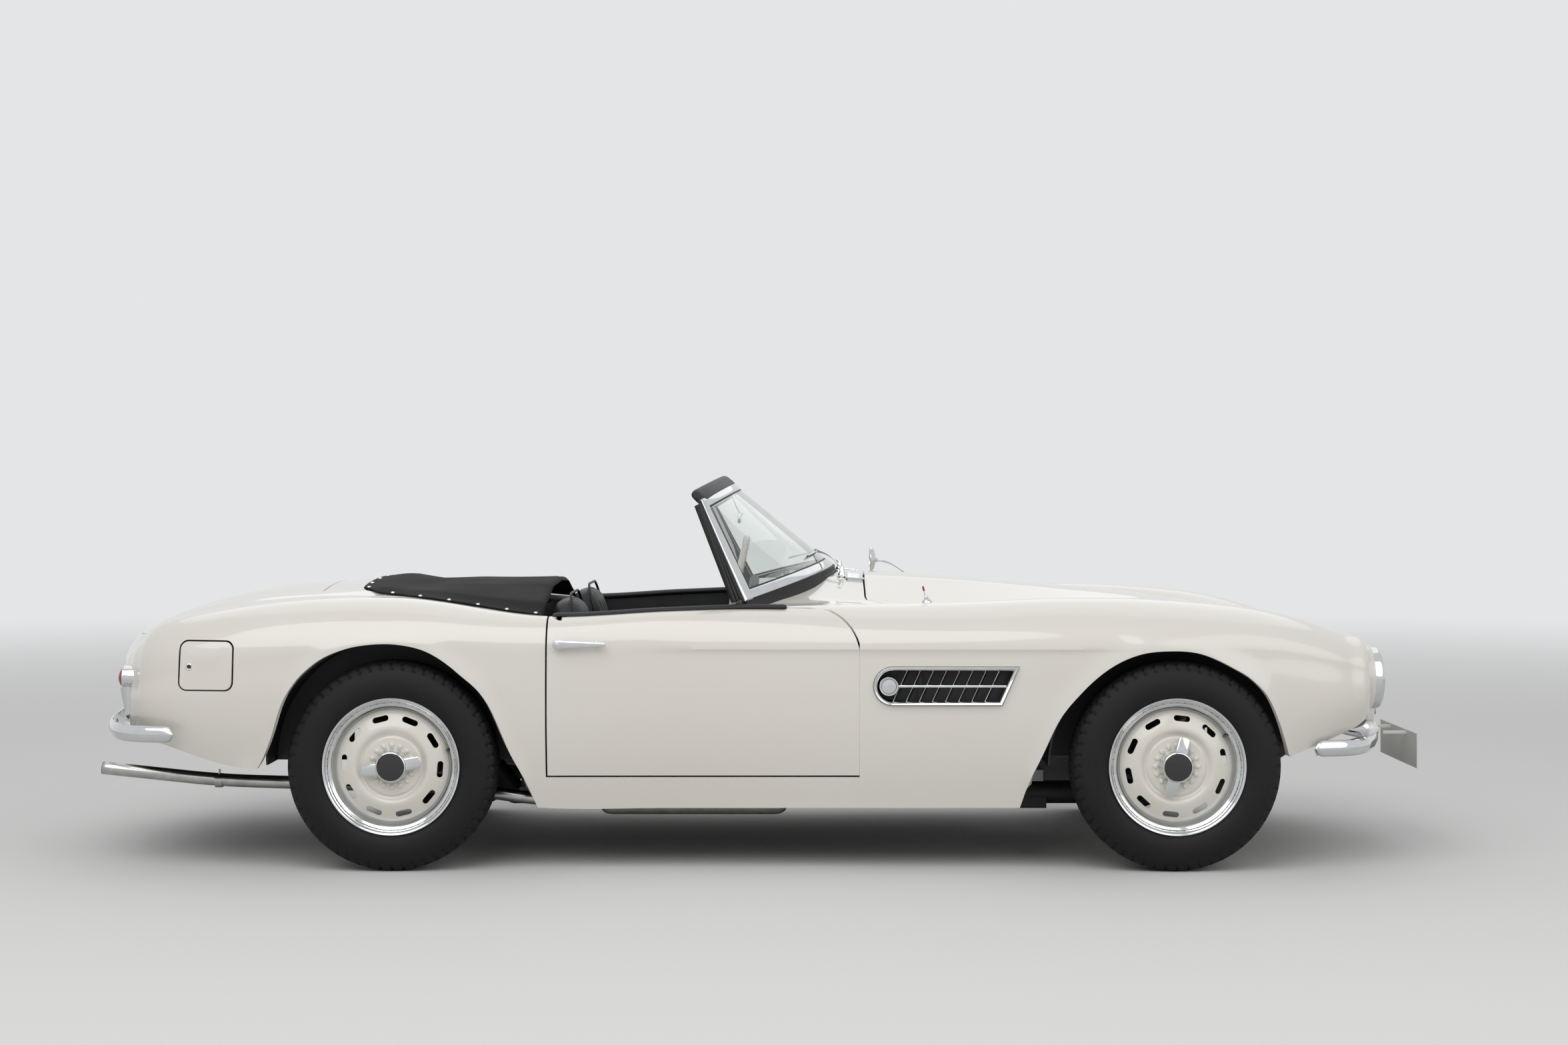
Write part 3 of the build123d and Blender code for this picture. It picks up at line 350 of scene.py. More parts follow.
def skin_panel(name, grids, material, wall=16, bevel=1.6, holes=None):
    """A pressed panel from grids of points, given a wall to the inside, holes and rounded edges."""
    points, faces = [], []
    for grid in grids:
        rows, columns = grid.shape[:2]
        faces += grid_faces(rows, columns, len(points))
        points += list(grid.reshape(-1, 3))
    piece = mesh_object(name, swept_ends(points), faces, material)
    shape = bmesh.new()
    shape.from_mesh(piece.data)
    score = 0
    for face in shape.faces:
        middle = face.calc_center_median()
        score += Vector((0, middle.y, middle.z - 0.55)).dot(face.normal) * face.calc_area()
    if score < 0:
        bmesh.ops.reverse_faces(shape, faces=shape.faces)
    shape.to_mesh(piece.data)
    shape.free()
    wall_maker = piece.modifiers.new("wall", "SOLIDIFY")
    wall_maker.thickness = wall / 1000
    wall_maker.offset = -1
    wall_maker.use_even_offset = False
    cutter = None
    if holes:
        cutter = mesh_object(name + "_holes", *joined(holes), material, merge=0)
        opener = piece.modifiers.new("holes", "BOOLEAN")
        opener.operation = "DIFFERENCE"
        opener.solver = "EXACT"
        opener.object = cutter
    round_edges(piece, bevel)
    finish_mesh(piece)
    if cutter:
        bpy.data.objects.remove(cutter)
    return piece


# Gloss cellulose paint, warm ivory under a clear polish: nearly even colour, with a very faint orange peel
ivory_paint, tree, shader = new_material("ivory_paint", Roughness=0.32, Coat_Weight=1.0,
        Coat_Roughness=0.03, IOR=1.5)
mottle(tree, shader, ("#D8D3CA", "#DAD6CE"), 900, (0.28, 0.36))


def rows_between(*stops):
    """Places from stop to stop, each stretch cut into a number of steps: stop, steps, stop, steps, stop."""
    places = [stops[0]]
    for i in range(1, len(stops) - 1, 2):
        start, steps, end = stops[i - 1], stops[i], stops[i + 1]
        places += [start + (end - start) * (k + 1) / steps for k in range(steps)]
    return np.array(places)


def cockpit_edge(w):
    """Station of the cockpit's front edge at a width."""
    return through([0, 250, 480, 690, 800], [105, 80, 10, -75, -150], np.asarray(w, float))


DOOR_CORNER = ((DOOR_X[1], 690), (285, 775), (184, 829))


def circle_through(a, b, c):
    """Centre and radius of a circle through three points."""
    (ax, ay), (bx, by), (cx, cy) = a, b, c
    d = 2 * (ax * (by - cy) + bx * (cy - ay) + cx * (ay - by))
    ux = ((ax**2 + ay**2) * (by - cy) + (bx**2 + by**2) * (cy - ay) + (cx**2 + cy**2) * (ay - by)) / d
    uy = ((ax**2 + ay**2) * (cx - bx) + (bx**2 + by**2) * (ax - cx) + (cx**2 + cy**2) * (bx - ax)) / d
    return ux, uy, math.hypot(ax - ux, ay - uy)


corner_x, corner_z, corner_radius = circle_through(*DOOR_CORNER)


def door_front(z, grow=0.0):
    """Station of the door's front edge at a height, moved out by grow."""
    radius = corner_radius + grow
    lift = np.clip(np.asarray(z, float) - corner_z, -radius, radius)
    bend = corner_x + np.sqrt(radius**2 - lift**2)
    return np.minimum(np.where(z < 690, DOOR_X[1] + grow, bend), DOOR_X[1] + grow)


def wing_rear(t):
    """Station where row t of the front skin starts: at the cockpit, the door's top or its front edge."""
    best = np.empty_like(t)
    stations = np.linspace(-140, DOOR_X[1] + PANEL_GAP, 900)
    for k, place in enumerate(t):
        w, z = skin(stations, place)
        door_edge = np.where(z > 829 + PANEL_GAP, 184 + PANEL_GAP, door_front(z, PANEL_GAP))
        inside = (stations >= cockpit_edge(w)) & ~((w > DOOR_INNER - PANEL_GAP) & (stations < door_edge))
        best[k] = stations[np.argmax(inside)]
    return best


HOOD_CORNER = 400
HOOD_TIP = 1880
BAND = 3.9
NOSE_END = SECTIONS[-1, 0]


def hood_rear(w, wv):
    """Station of the hood's rear edge, rounded into the sides."""
    near = np.clip((w - (wv - 55)) / 55, 0, 1)
    return HOOD_X[0] + 8 * (1 - smooth(w, 0, 300)) + (HOOD_CORNER - HOOD_X[0]) * (1 - np.sqrt(1 - near**2))


def hood_front(t):
    """Station of the hood's front edge, bowed back to the sides."""
    return HOOD_X[1] - (HOOD_X[1] - HOOD_TIP) * np.clip((t - 0.6) / 1.4, 0, 1) ** 2.2


top_rows = rows_between(0, 6, 0.96, 1, 1.0, 1, 1.04, 8, 2.0)
wing_rows = rows_between(2.0, 8, 3.0, 10, BAND)
rear_share = np.linspace(0, 1, 27)
straight = np.concatenate([np.linspace(HOOD_CORNER, 820, 22)[1:], np.linspace(820, 960, 18)[1:],
                           np.linspace(960, 1560, 34)[1:], np.linspace(1560, 1700, 22)[1:],
                           np.linspace(1700, HOOD_TIP, 12)[1:]])
nose_share = np.linspace(0, 1, 16)


def front_skin(side):
    """The cowl, a front wing and half of the nose, as grids that meet along their rows."""
    gap = PANEL_GAP / 2
    # wing above the crease, from the cockpit to the nose
    start = wing_rear(wing_rows)
    columns = [start[:, None] + (HOOD_CORNER - start[:, None]) * rear_share[None, :]]
    columns.append(np.repeat(straight[None, :], len(wing_rows), 0))
    columns.append(np.repeat((HOOD_TIP + (NOSE_END - HOOD_TIP) * nose_share[None, 1:]), len(wing_rows), 0))
    x = np.concatenate(columns, axis=1)
    t = np.repeat(wing_rows[:, None], x.shape[1], 1)
    wv = through(SECTIONS[:, 0], SECTIONS[:, 4], x[0])
    ww = through(SECTIONS[:, 0], SECTIONS[:, 6], x[0])
    opened = smooth(x[0], HOOD_CORNER, HOOD_CORNER + 30) * (1 - smooth(x[0], HOOD_TIP - 30, HOOD_TIP))
    t[0] += opened * gap / (1.05 * (ww - wv))
    grids = [patch(x, t, side)]
    # wing below the crease, down to the arch or the lower edge
    x = np.repeat(x[-1:, :], 20, 0)
    bottom = np.maximum(arch_height(x[0]), skin(x[0], 6.0)[1])
    t_end = place_at_height(x[0], bottom, BAND)
    t_crease = np.minimum(CREASE, BAND + 0.5 * (t_end - BAND))
    share = np.concatenate([[0, 0.5, 1, 1.028], 1.028 + 0.972 * np.linspace(0, 1, 17)[1:]])
    t = np.array([BAND + (t_crease - BAND) * s if s <= 1 else t_crease + (t_end - t_crease) * (s - 1)
                  for s in share])
    grids.append(patch(x, t, side))
    # cowl, from the cockpit's edge to the hood's rear edge
    start = np.array([cockpit_edge(skin(0.0, place)[0]) for place in top_rows])
    for _ in range(3):
        start = cockpit_edge(skin(start, top_rows)[0])
    start[-1] = wing_rear(top_rows[-1:])[0]
    w, _ = skin(np.full(len(top_rows), 370.0), top_rows)
    wv = through(SECTIONS[:, 0], SECTIONS[:, 4], np.array([370.0]))
    end = hood_rear(w, wv) - PANEL_GAP
    end[-1] = HOOD_CORNER
    x = start[:, None] + (end - start)[:, None] * rear_share[None, :]
    grids.append(patch(x, np.repeat(top_rows[:, None], x.shape[1], 1), side))
    # nose, in front of the hood
    start = hood_front(top_rows) + PANEL_GAP
    start[-1] = HOOD_TIP
    x = start[:, None] + (NOSE_END - start)[:, None] * nose_share[None, :]
    grids.append(patch(x, np.repeat(top_rows[:, None], x.shape[1], 1), side))
    # face of the nose, from the end of the skin to the edge of the grille's opening
    rim = np.concatenate([grids[3][:, -1], grids[0][1:, -1], grids[1][1:, -1]]) * 1000
    grids.append(end_cap(rim, side, GRILLE_RIM, NOSE_END, GRILLE_FACE_X))
    return grids


GRILLE_Y = (32, 362)
GRILLE_Z = (458, 588)
GRILLE_FACE_X = 2108
GRILLE_RIM = rounded_outline((GRILLE_Y[0], GRILLE_Z[0]), (GRILLE_Y[1], GRILLE_Z[1]), 55)


def towards_outline(hole, targets):
    """Where rays from the middle of a closed outline to the target points leave the outline."""
    hole = np.asarray(hole, float)
    centre = hole.mean(axis=0)
    spots = []
    for point in targets:
        ray = point - centre
        reach = 0
        for a, b in zip(hole, np.roll(hole, -1, axis=0)):
            edge = b - a
            cross = ray[0] * edge[1] - ray[1] * edge[0]
            if abs(cross) < 1e-9:
                continue
            along = ((a - centre)[0] * edge[1] - (a - centre)[1] * edge[0]) / cross
            share = ((a - centre)[0] * ray[1] - (a - centre)[1] * ray[0]) / cross
            if along > 0 and -1e-6 <= share <= 1 + 1e-6:
                reach = max(reach, along)
        spots.append(centre + ray * reach)
    return np.array(spots)


def end_cap(rim, side, opening, start_x, end_x, rings=9):
    """Closes the end of the skin inside its rim, rounded over towards an opening or a point."""
    rim = np.stack([np.abs(rim[:, 1]), rim[:, 2]], axis=1)
    low = rim[-1]
    rim = rim[np.concatenate([[True], np.hypot(*np.diff(rim, axis=0).T) > 0.3])]
    under = [(low[0] * (1 - k / 12), low[1]) for k in range(1, 13)]
    skin_edge = np.concatenate([rim, under])
    if opening:
        middle = [(0, low[1] + (rim[0, 1] - low[1]) * k / 10) for k in range(1, 11)]
        outline = np.concatenate([skin_edge, middle])
        inner = towards_outline(opening, outline)
    else:
        outline = skin_edge
        inner = np.array([(0, (rim[0, 1] + low[1]) / 2)])
    grid = np.empty((rings, len(outline), 3))
    for k in range(rings):
        ring = outline + (inner - outline) * k / (rings - 1)
        depth = np.min(np.hypot(ring[:, None, 0] - skin_edge[None, :, 0],
                                ring[:, None, 1] - skin_edge[None, :, 1]), axis=1)
        bulge = np.sqrt(1 - (1 - np.clip(depth / 40, 0, 1)) ** 2)
        grid[k] = np.stack([start_x + (end_x - start_x) * bulge, side * ring[:, 0], ring[:, 1]], axis=1)
    return grid / 1000


VENT_X = (362, 823)
VENT_Z = (526, 648)
VENT_SLANT = 55
HEADLAMP = (1995, 548, 597)
HEADLAMP_RADIUS = 100


def vent_outline(grow=0.0):
    """The side vent: a round end towards the door and a slanted end towards the wheel."""
    radius = (VENT_Z[1] - VENT_Z[0]) / 2 + grow
    centre = (VENT_X[0] - grow + radius, sum(VENT_Z) / 2)
    bow = [(centre[0] - radius * math.sin(math.pi * k / 24),
            centre[1] + radius * math.cos(math.pi * k / 24)) for k in range(25)]
    return [(VENT_X[1] + grow, VENT_Z[1] + grow)] + bow + [(VENT_X[1] + grow - VENT_SLANT, VENT_Z[0] - grow)]


front_holes = []
for side in (-1, 1):
    front_holes.append(prism(vent_outline(1), side * 700, side * 860, 1))
    front_holes.append(prism(disc_outline((side * HEADLAMP[1], HEADLAMP[2]), HEADLAMP_RADIUS + 1), 1900,
                             2200, 0))
front_body = skin_panel("front_body", front_skin(-1) + front_skin(1), ivory_paint, holes=front_holes)
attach(front_body, "chassis")
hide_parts("front_wing_r", "front_wing_l", "cowl_panel", "nose_panel")

# Hood: one long steel panel hinged at the cowl, with two crisp ridges pressed along it and a rolled
# return round its edge, in the paint of the body.
hood_share = np.linspace(0, 1, 70)
hood_grids = []
for side in (-1, 1):
    w, _ = skin(np.full(len(top_rows), 370.0), top_rows)
    wv = through(SECTIONS[:, 0], SECTIONS[:, 4], np.array([370.0]))
    start, end = hood_rear(w, wv), hood_front(top_rows)
    x = start[:, None] + (end - start)[:, None] * hood_share[None, :]
    t = np.repeat(top_rows[:, None], x.shape[1], 1)
    wr, wv = through(SECTIONS[:, 0], SECTIONS[:, 2], x[-1]), through(SECTIONS[:, 0], SECTIONS[:, 4], x[-1])
    t[-1] -= 0.5 * PANEL_GAP / (wv - wr)
    hood_grids.append(patch(x, t, side))
hood = skin_panel("hood_panel", hood_grids, ivory_paint)
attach(hood, "hood")
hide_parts("hood")

# Rear body: wings, deck and tail of pressed steel, welded to one piece round the cockpit and the luggage
# lid, with holes for the filler lid and the tail lamps.
TAIL_END = SECTIONS[0, 0]
TRUNK_TIP = -2080


def cockpit_rear_edge(w):
    """Station of the cockpit's rear edge at a width."""
    edge = through([0, 400, 510, 580, 640, 690, 720],
                   [COCKPIT_REAR, COCKPIT_REAR, -1262, -1160, -900, -668, -520], np.asarray(w, float))
    return np.maximum(edge, COCKPIT_REAR)


def rear_front(t):
    """Station where the row t of the rear body starts."""
    stations = np.linspace(DOOR_X[0] - PANEL_GAP, COCKPIT_REAR - 20, 900)
    best = np.empty_like(t)
    for k, place in enumerate(t):
        w, _ = skin(stations, place)
        inside = stations <= np.where(w > 689, DOOR_X[0] - PANEL_GAP + 0.1, cockpit_rear_edge(w))
        best[k] = stations[np.argmax(inside)]
    return best


def trunk_rear(t):
    """Station of the luggage lid's rear edge, bowed forward to the sides."""
    return TRUNK_X[0] + (TRUNK_TIP - TRUNK_X[0]) * np.clip((t - 0.8) / 1.2, 0, 1) ** 2.2


def trunk_front(t):
    return TRUNK_X[1] - 40 * np.clip((t - 1.6) / 0.4, 0, 1) ** 2


REAR_BAND = 3.85
rear_rows = rows_between(2.0, 10, 3.0, 10, REAR_BAND)
deck_rows = rows_between(0, 6, 1.0, 10, 2.0)
tail_share = np.linspace(0, 1, 12)
TRUNK_SIDE = TRUNK_X[1] - 40
rear_straight = np.concatenate([np.linspace(TRUNK_SIDE, -1500, 4)[1:], np.linspace(-1500, -1640, 20)[1:],
                                np.linspace(-1640, TRUNK_TIP, 24)[1:]])


def rear_skin(side):
    gap = PANEL_GAP / 2
    start = rear_front(rear_rows)
    front_share = np.linspace(0, 1, 60)
    columns = [start[:, None] + (TRUNK_SIDE - start[:, None]) * front_share[None, :]]
    columns.append(np.repeat(rear_straight[None, :], len(rear_rows), 0))
    columns.append(np.repeat(TRUNK_TIP + (TAIL_END - TRUNK_TIP) * tail_share[None, 1:], len(rear_rows), 0))
    x = np.concatenate(columns, axis=1)
    t = np.repeat(rear_rows[:, None], x.shape[1], 1)
    wv, ww = through(SECTIONS[:, 0], SECTIONS[:, 4], x[0]), through(SECTIONS[:, 0], SECTIONS[:, 6], x[0])
    opened = (1 - smooth(x[0], TRUNK_SIDE - 30, TRUNK_SIDE)) * smooth(x[0], TRUNK_TIP, TRUNK_TIP + 30)
    t[0] += opened * gap / (1.05 * (ww - wv))
    grids = [patch(x, t, side)]
    x = np.repeat(x[-1:, :], 18, 0)
    bottom = np.maximum(arch_height(x[0]), skin(x[0], 6.0)[1])
    t_end = place_at_height(x[0], bottom, REAR_BAND)
    share = np.linspace(0, 1, 18)
    grids.append(patch(x, REAR_BAND + (t_end - REAR_BAND)[None, :] * share[:, None], side))
    # deck between the cockpit and the lid
    start = rear_front(deck_rows)
    end = trunk_front(deck_rows) + PANEL_GAP
    start[-1], end[-1] = rear_front(rear_rows[:1])[0], TRUNK_SIDE
    x = start[:, None] + (end - start)[:, None] * front_share[None, :]
    grids.append(patch(x, np.repeat(deck_rows[:, None], x.shape[1], 1), side))
    # tail behind the lid
    start = trunk_rear(deck_rows) - PANEL_GAP
    start[-1] = TRUNK_TIP
    x = start[:, None] + (TAIL_END - start)[:, None] * tail_share[None, :]
    grids.append(patch(x, np.repeat(deck_rows[:, None], x.shape[1], 1), side))
    # face of the tail
    rim = np.concatenate([grids[3][:, -1], grids[0][1:, -1], grids[1][1:, -1]]) * 1000
    grids.append(end_cap(rim, side, None, TAIL_END, TAIL_END - 8, 12))
    return grids


FILLER_X = (-1837, -1666)
FILLER_Z = (574, 726)
FILLER_CORNER = 24
TAIL_LAMP = (-2035, 590, 600)
TAIL_LAMP_RADIUS = 38
grown = rounded_outline((FILLER_X[0] - 4, FILLER_Z[0] - 4), (FILLER_X[1] + 6.5, FILLER_Z[1] + 4),
                        FILLER_CORNER + 4)
rear_holes = [prism(grown, -860, -650, 1)]
for side in (-1, 1):
    rear_holes.append(prism(disc_outline((side * TAIL_LAMP[1], TAIL_LAMP[2]), TAIL_LAMP_RADIUS + 1), -2300,
                            -1950, 0))
rear_body = skin_panel("rear_body_panel", rear_skin(-1) + rear_skin(1), ivory_paint, holes=rear_holes)
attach(rear_body, "chassis")
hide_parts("rear_body")

# Luggage lid: a pressed steel panel on the curve of the tail, hinged at its front edge. Its border is
# rolled in, and an even gap runs round it.
trunk_grids = []
for side in (-1, 1):
    start, end = trunk_front(deck_rows), trunk_rear(deck_rows)
    x = start[:, None] + (end - start)[:, None] * np.linspace(0, 1, 40)[None, :]
    t = np.repeat(deck_rows[:, None], x.shape[1], 1)
    wr, wv = through(SECTIONS[:, 0], SECTIONS[:, 2], x[-1]), through(SECTIONS[:, 0], SECTIONS[:, 4], x[-1])
    t[-1] -= 0.5 * PANEL_GAP / (wv - wr)
    trunk_grids.append(patch(x, t, side))
trunk = skin_panel("luggage_lid", trunk_grids, ivory_paint)
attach(trunk, "trunk_lid")
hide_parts("trunk_lid")

# Doors: a deep pressed shell as thick as the body side, rolled in at the top and closed by a flat
# inside. It hangs on hidden hinges at its front edge.
door_rows = np.concatenate([np.linspace(0, 1, 13), [1.022], 1.022 + 0.978 * np.linspace(0, 1, 21)[1:]])
door_share = np.linspace(0, 1, 56)


def door_grid(side):
    """Outer points of a door, from its top edge to its lower edge."""
    grid = np.empty((len(door_rows), len(door_share), 3))
    for i, s in enumerate(door_rows):
        upper = min(s, 1.0)
        reach = np.linspace(100, DOOR_X[1], 400)
        top = place_at_width(reach, DOOR_INNER, 2.0, 4.0)
        t = top + (CREASE - top) * upper
        z = skin(reach, t)[1]
        front_edge = np.where(z > 828.9, 184, door_front(z)) - 0.2
        front = reach[np.argmax(reach >= front_edge)] if s < 1 else DOOR_X[1]
        x = DOOR_X[0] + (front - DOOR_X[0]) * door_share
        top = place_at_width(x, DOOR_INNER, 2.0, 4.0)
        low = place_at_height(x, np.full(x.shape, float(DOOR_BOTTOM)), CREASE)
        t = top + (CREASE - top) * upper if s <= 1 else CREASE + (low - CREASE) * (s - 1)
        grid[i] = patch(x, t, side)
    return grid


def door_shell(name, side):
    """The outer skin of a door closed by a flat inside, its rear edge thinned to swing clear."""
    outside = door_grid(side)
    rows, columns = outside.shape[:2]
    inside = outside.copy()
    relief = np.clip((DOOR_X[0] + 75 - outside[..., 0] * 1000) / 76, 0, 1)
    depth = DOOR_INNER + (768 - DOOR_INNER) * relief
    inside[..., 1] = side * np.minimum(depth / 1000, np.abs(outside[..., 1]))
    points = list(outside.reshape(-1, 3)) + list(inside.reshape(-1, 3))
    size = rows * columns
    faces = grid_faces(rows, columns) + grid_faces(rows, columns, size, True)
    rim = [j for j in range(columns)] + [i * columns + columns - 1 for i in range(1, rows)]
    rim += [(rows - 1) * columns + j for j in range(columns - 2, -1, -1)]
    rim += [i * columns for i in range(rows - 2, 0, -1)]
    for a, b in zip(rim, rim[1:] + rim[:1]):
        faces.append((b, a, a + size, b + size))
    piece = mesh_object(name, points, faces, ivory_paint)
    round_edges(piece, 1.6)
    finish_mesh(piece)
    return piece


for letter, side, body in (("r", -1, "door_right"), ("l", 1, "door_left")):
    door = door_shell("door_shell_" + letter, side)
    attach(door, body)
    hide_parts("door_" + letter)

# Sills: the closed steel box under each door, welded between the wheel arches and painted with the
# rest of the body.
for letter, side in (("r", -1), ("l", 1)):
    x = np.linspace(DOOR_X[0] - PANEL_GAP, DOOR_X[1] + PANEL_GAP, 30)
    top = place_at_height(x, np.full(x.shape, DOOR_BOTTOM - PANEL_GAP), CREASE)
    t = top[None, :] + (6.0 - top)[None, :] * np.linspace(0, 1, 10)[:, None]
    outside = patch(np.repeat(x[None, :], 10, 0), t, side)
    step = outside[:1].copy()
    step[..., 1] = side * 0.617
    under = outside[-1:].copy()
    under[..., 1] = side * 0.617
    sill = mesh_object("sill_panel_" + letter, list(np.concatenate([step, outside, under]).reshape(-1, 3)),
                       grid_faces(12, 30), ivory_paint)
    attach(sill, "chassis")
    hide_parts("sill_" + letter)

# Filler lid: a small pressed door in the right rear wing, on the same curve as the skin. It is hinged
# at its front edge and has a chromed key lock.
FILLER_LOCK = (-1805, 646)


def side_width(x, z):
    """Width of the body's side at a station and a height."""
    return skin(x, place_at_height(x, z))[0]


def turned(profile, centre, axis, steps=48):
    """Points and faces of radius and height pairs turned about an axis through the centre, in mm."""
    along = Vector(axis).normalized()
    across = along.orthogonal().normalized()
    third = along.cross(across)
    points = []
    for radius, height in profile:
        for k in range(steps):
            angle = 2 * math.pi * k / steps
            around = across * math.cos(angle) + third * math.sin(angle)
            spot = Vector(centre) + along * height + around * radius
            points.append(spot / 1000)
    faces = []
    for i in range(len(profile) - 1):
        for k in range(steps):
            a, b = i * steps + k, i * steps + (k + 1) % steps
            faces.append((a, b, b + steps, a + steps))
    return points, faces


outline = np.array(rounded_outline((FILLER_X[0], FILLER_Z[0]), (FILLER_X[1], FILLER_Z[1]), FILLER_CORNER))
outline = np.concatenate([outline, outline[:1]])
middle = outline.mean(axis=0)
rings = []
for share in np.linspace(1, 0, 10):
    flat = middle + (outline - middle) * share
    rings.append(np.stack([flat[:, 0], -side_width(flat[:, 0], flat[:, 1]), flat[:, 1]], axis=1))
filler_lid = skin_panel("filler_lid", [np.array(rings) / 1000], ivory_paint, wall=8, bevel=2.4)
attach(filler_lid, "filler_door")
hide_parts("filler_door")

# Bright chrome plate: clear reflections, with faint wipe marks that vary the gloss
chrome_plate, tree, shader = new_material("chrome_plate", Metallic=1.0)
mottle(tree, shader, ("#CFD1D3", "#D8DADB"), 45, (0.04, 0.1), detail=5.0)
skin_y = -float(side_width(np.array([FILLER_LOCK[0]]), np.array([FILLER_LOCK[1]]))[0])
barrel = turned([(0, 1.2), (5, 1.2), (6, 2), (8, 3), (10, 2.2), (11, 0), (11, -6)],
                (FILLER_LOCK[0], skin_y, FILLER_LOCK[1]), (0, -1, 0), 32)
keyway = prism([(FILLER_LOCK[0] - 0.8, FILLER_LOCK[1] - 4), (FILLER_LOCK[0] + 0.8, FILLER_LOCK[1] - 4),
                (FILLER_LOCK[0] + 0.8, FILLER_LOCK[1] + 4), (FILLER_LOCK[0] - 0.8, FILLER_LOCK[1] + 4)],
               skin_y - 2, skin_y, 1)
# The lock's face is a black painted disc: a painted dark reflection in its chrome, so that the lock shows
# against the pale paint.
lock_face = mesh_object("filler_lock_face", *turned([(8, 1.6), (7, 2.4), (0, 2.6)],
        (FILLER_LOCK[0], skin_y, FILLER_LOCK[1]), (0, -1, 0), 28), chassis_paint)
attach(lock_face, "filler_door")
filler_lock = mesh_object("filler_lock", *joined([barrel, keyway]), chrome_plate)
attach(filler_lock, "filler_door")

# Door lining: black leather glued over the inside of each door, with a stuffed roll along its top edge
# and a chromed lever and lock knob.
black_leather, tree, shader = new_material("black_leather", Roughness=0.45, Specular_IOR_Level=0.4)
mottle(tree, shader, ("#131417", "#202125"), 55, (0.36, 0.56))
place = add_node(tree, "ShaderNodeTexCoord")
cells = add_node(tree, "ShaderNodeTexVoronoi", {"Vector": place.outputs["Object"]}, Scale=520.0,
                 feature="DISTANCE_TO_EDGE")
creases = add_node(tree, "ShaderNodeMapRange", {"Value": cells.outputs["Distance"]}, From_Max=0.18)
bump = add_node(tree, "ShaderNodeBump", {"Height": creases.outputs["Result"]}, Strength=0.5, Distance=0.0004)
tree.links.new(bump.outputs["Normal"], shader.inputs["Normal"])


def swept(path, section, up=(0, 0, 1), scale=None, closed=False, caps=True):
    """Points and faces of a section carried along a path, in mm, its first axis across and its second up."""
    path = np.asarray(path, float)
    tangent = np.roll(path, -1, 0) - np.roll(path, 1, 0) if closed else np.gradient(path, axis=0)
    tangent /= np.linalg.norm(tangent, axis=1)[:, None]
    across = np.cross(tangent, np.broadcast_to(np.asarray(up, float), path.shape))
    across /= np.linalg.norm(across, axis=1)[:, None]
    lift = np.cross(across, tangent)
    size = np.ones((len(path), 2))
    if scale is not None:
        size = np.asarray(scale, float).reshape(len(path), -1) * size
    shape = np.asarray(section, float)[None] * size[:, None]
    rings = path[:, None] + across[:, None] * shape[..., :1] + lift[:, None] * shape[..., 1:]
    rows, columns = rings.shape[:2]
    faces = []
    for i in range(rows if closed else rows - 1):
        for j in range(columns):
            a, b = i * columns + j, i * columns + (j + 1) % columns
            c, d = (i + 1) % rows * columns + (j + 1) % columns, (i + 1) % rows * columns + j
            faces.append((a, b, c, d))
    if caps and not closed:
        faces += [tuple(range(columns))[::-1], tuple(range((rows - 1) * columns, rows * columns))]
    return rings.reshape(-1, 3) / 1000, faces


def oval(half_width, half_height, steps=24, power=2.0):
    """Points of an ellipse, squarer with a higher power."""
    angles = 2 * math.pi * np.arange(steps) / steps
    bend = lambda v: np.sign(v) * np.abs(v) ** (2 / power)
    return np.stack([half_width * bend(np.cos(angles)), half_height * bend(np.sin(angles))], axis=1)


def rounded_ends(count, length, reach):
    """Sizes along a path of a given length whose two ends close in a round tip."""
    s = np.linspace(0, length, count)
    from_end = np.clip(np.minimum(s, length - s) / reach, 0, 1)
    return np.sqrt(np.clip(1 - (1 - from_end) ** 2, 0.004, 1))


for letter, side, body in (("r", -1, "door_right"), ("l", 1, "door_left")):
    shell = bpy.data.objects["door_shell_" + letter]
    shell.data.materials.append(black_leather)
    for face in shell.data.polygons:
        if face.normal.y * side < -0.6 and abs(face.center.y) < 0.76:
            face.material_index = 1
    x = np.concatenate([np.linspace(DOOR_X[0] + 8, DOOR_X[0] + 40, 12)[:-1],
                        np.linspace(DOOR_X[0] + 40, 60, 40), np.linspace(60, 90, 12)[1:]])
    top = skin(x, place_at_width(x, DOOR_INNER, 2.0, 4.0))[1]
    path = np.stack([x, np.full(len(x), side * (DOOR_INNER + 1.0)), top + 2], axis=1)
    ends = np.sqrt(np.clip(1 - (1 - np.clip(np.minimum(x - x[0], x[-1] - x) / 14, 0, 1)) ** 2, 0.004, 1))
    roll = mesh_object("door_roll_" + letter, *swept(path, oval(15, 10), scale=ends), black_leather)
    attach(roll, body)
    catch = [(0, 4), (6, 4), (8, 2.5), (9, 0), (9, -3)]
    knob = turned([(0, 20), (5, 19), (7, 15), (5.5, 11), (3.5, 8), (3.5, 0)],
                  (-560, side * (DOOR_INNER - 0.5), 740), (0, -side, 0), 24)
    plate = turned(catch, (-560, side * DOOR_INNER, 740), (0, -side, 0), 24)
    lever_path = np.array([(60, side * (DOOR_INNER - 12), 650), (20, side * (DOOR_INNER - 16), 646),
                           (-60, side * (DOOR_INNER - 16), 636)], float)
    lever = swept(lever_path, oval(4, 8), scale=[1.0, 0.9, 0.6])
    boss = turned([(0, 14), (12, 14), (15, 10), (17, 0)], (60, side * DOOR_INNER, 650), (0, -side, 0), 32)
    hardware = mesh_object("door_hardware_" + letter, *joined([knob, plate, lever, boss]), chrome_plate)
    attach(hardware, body)

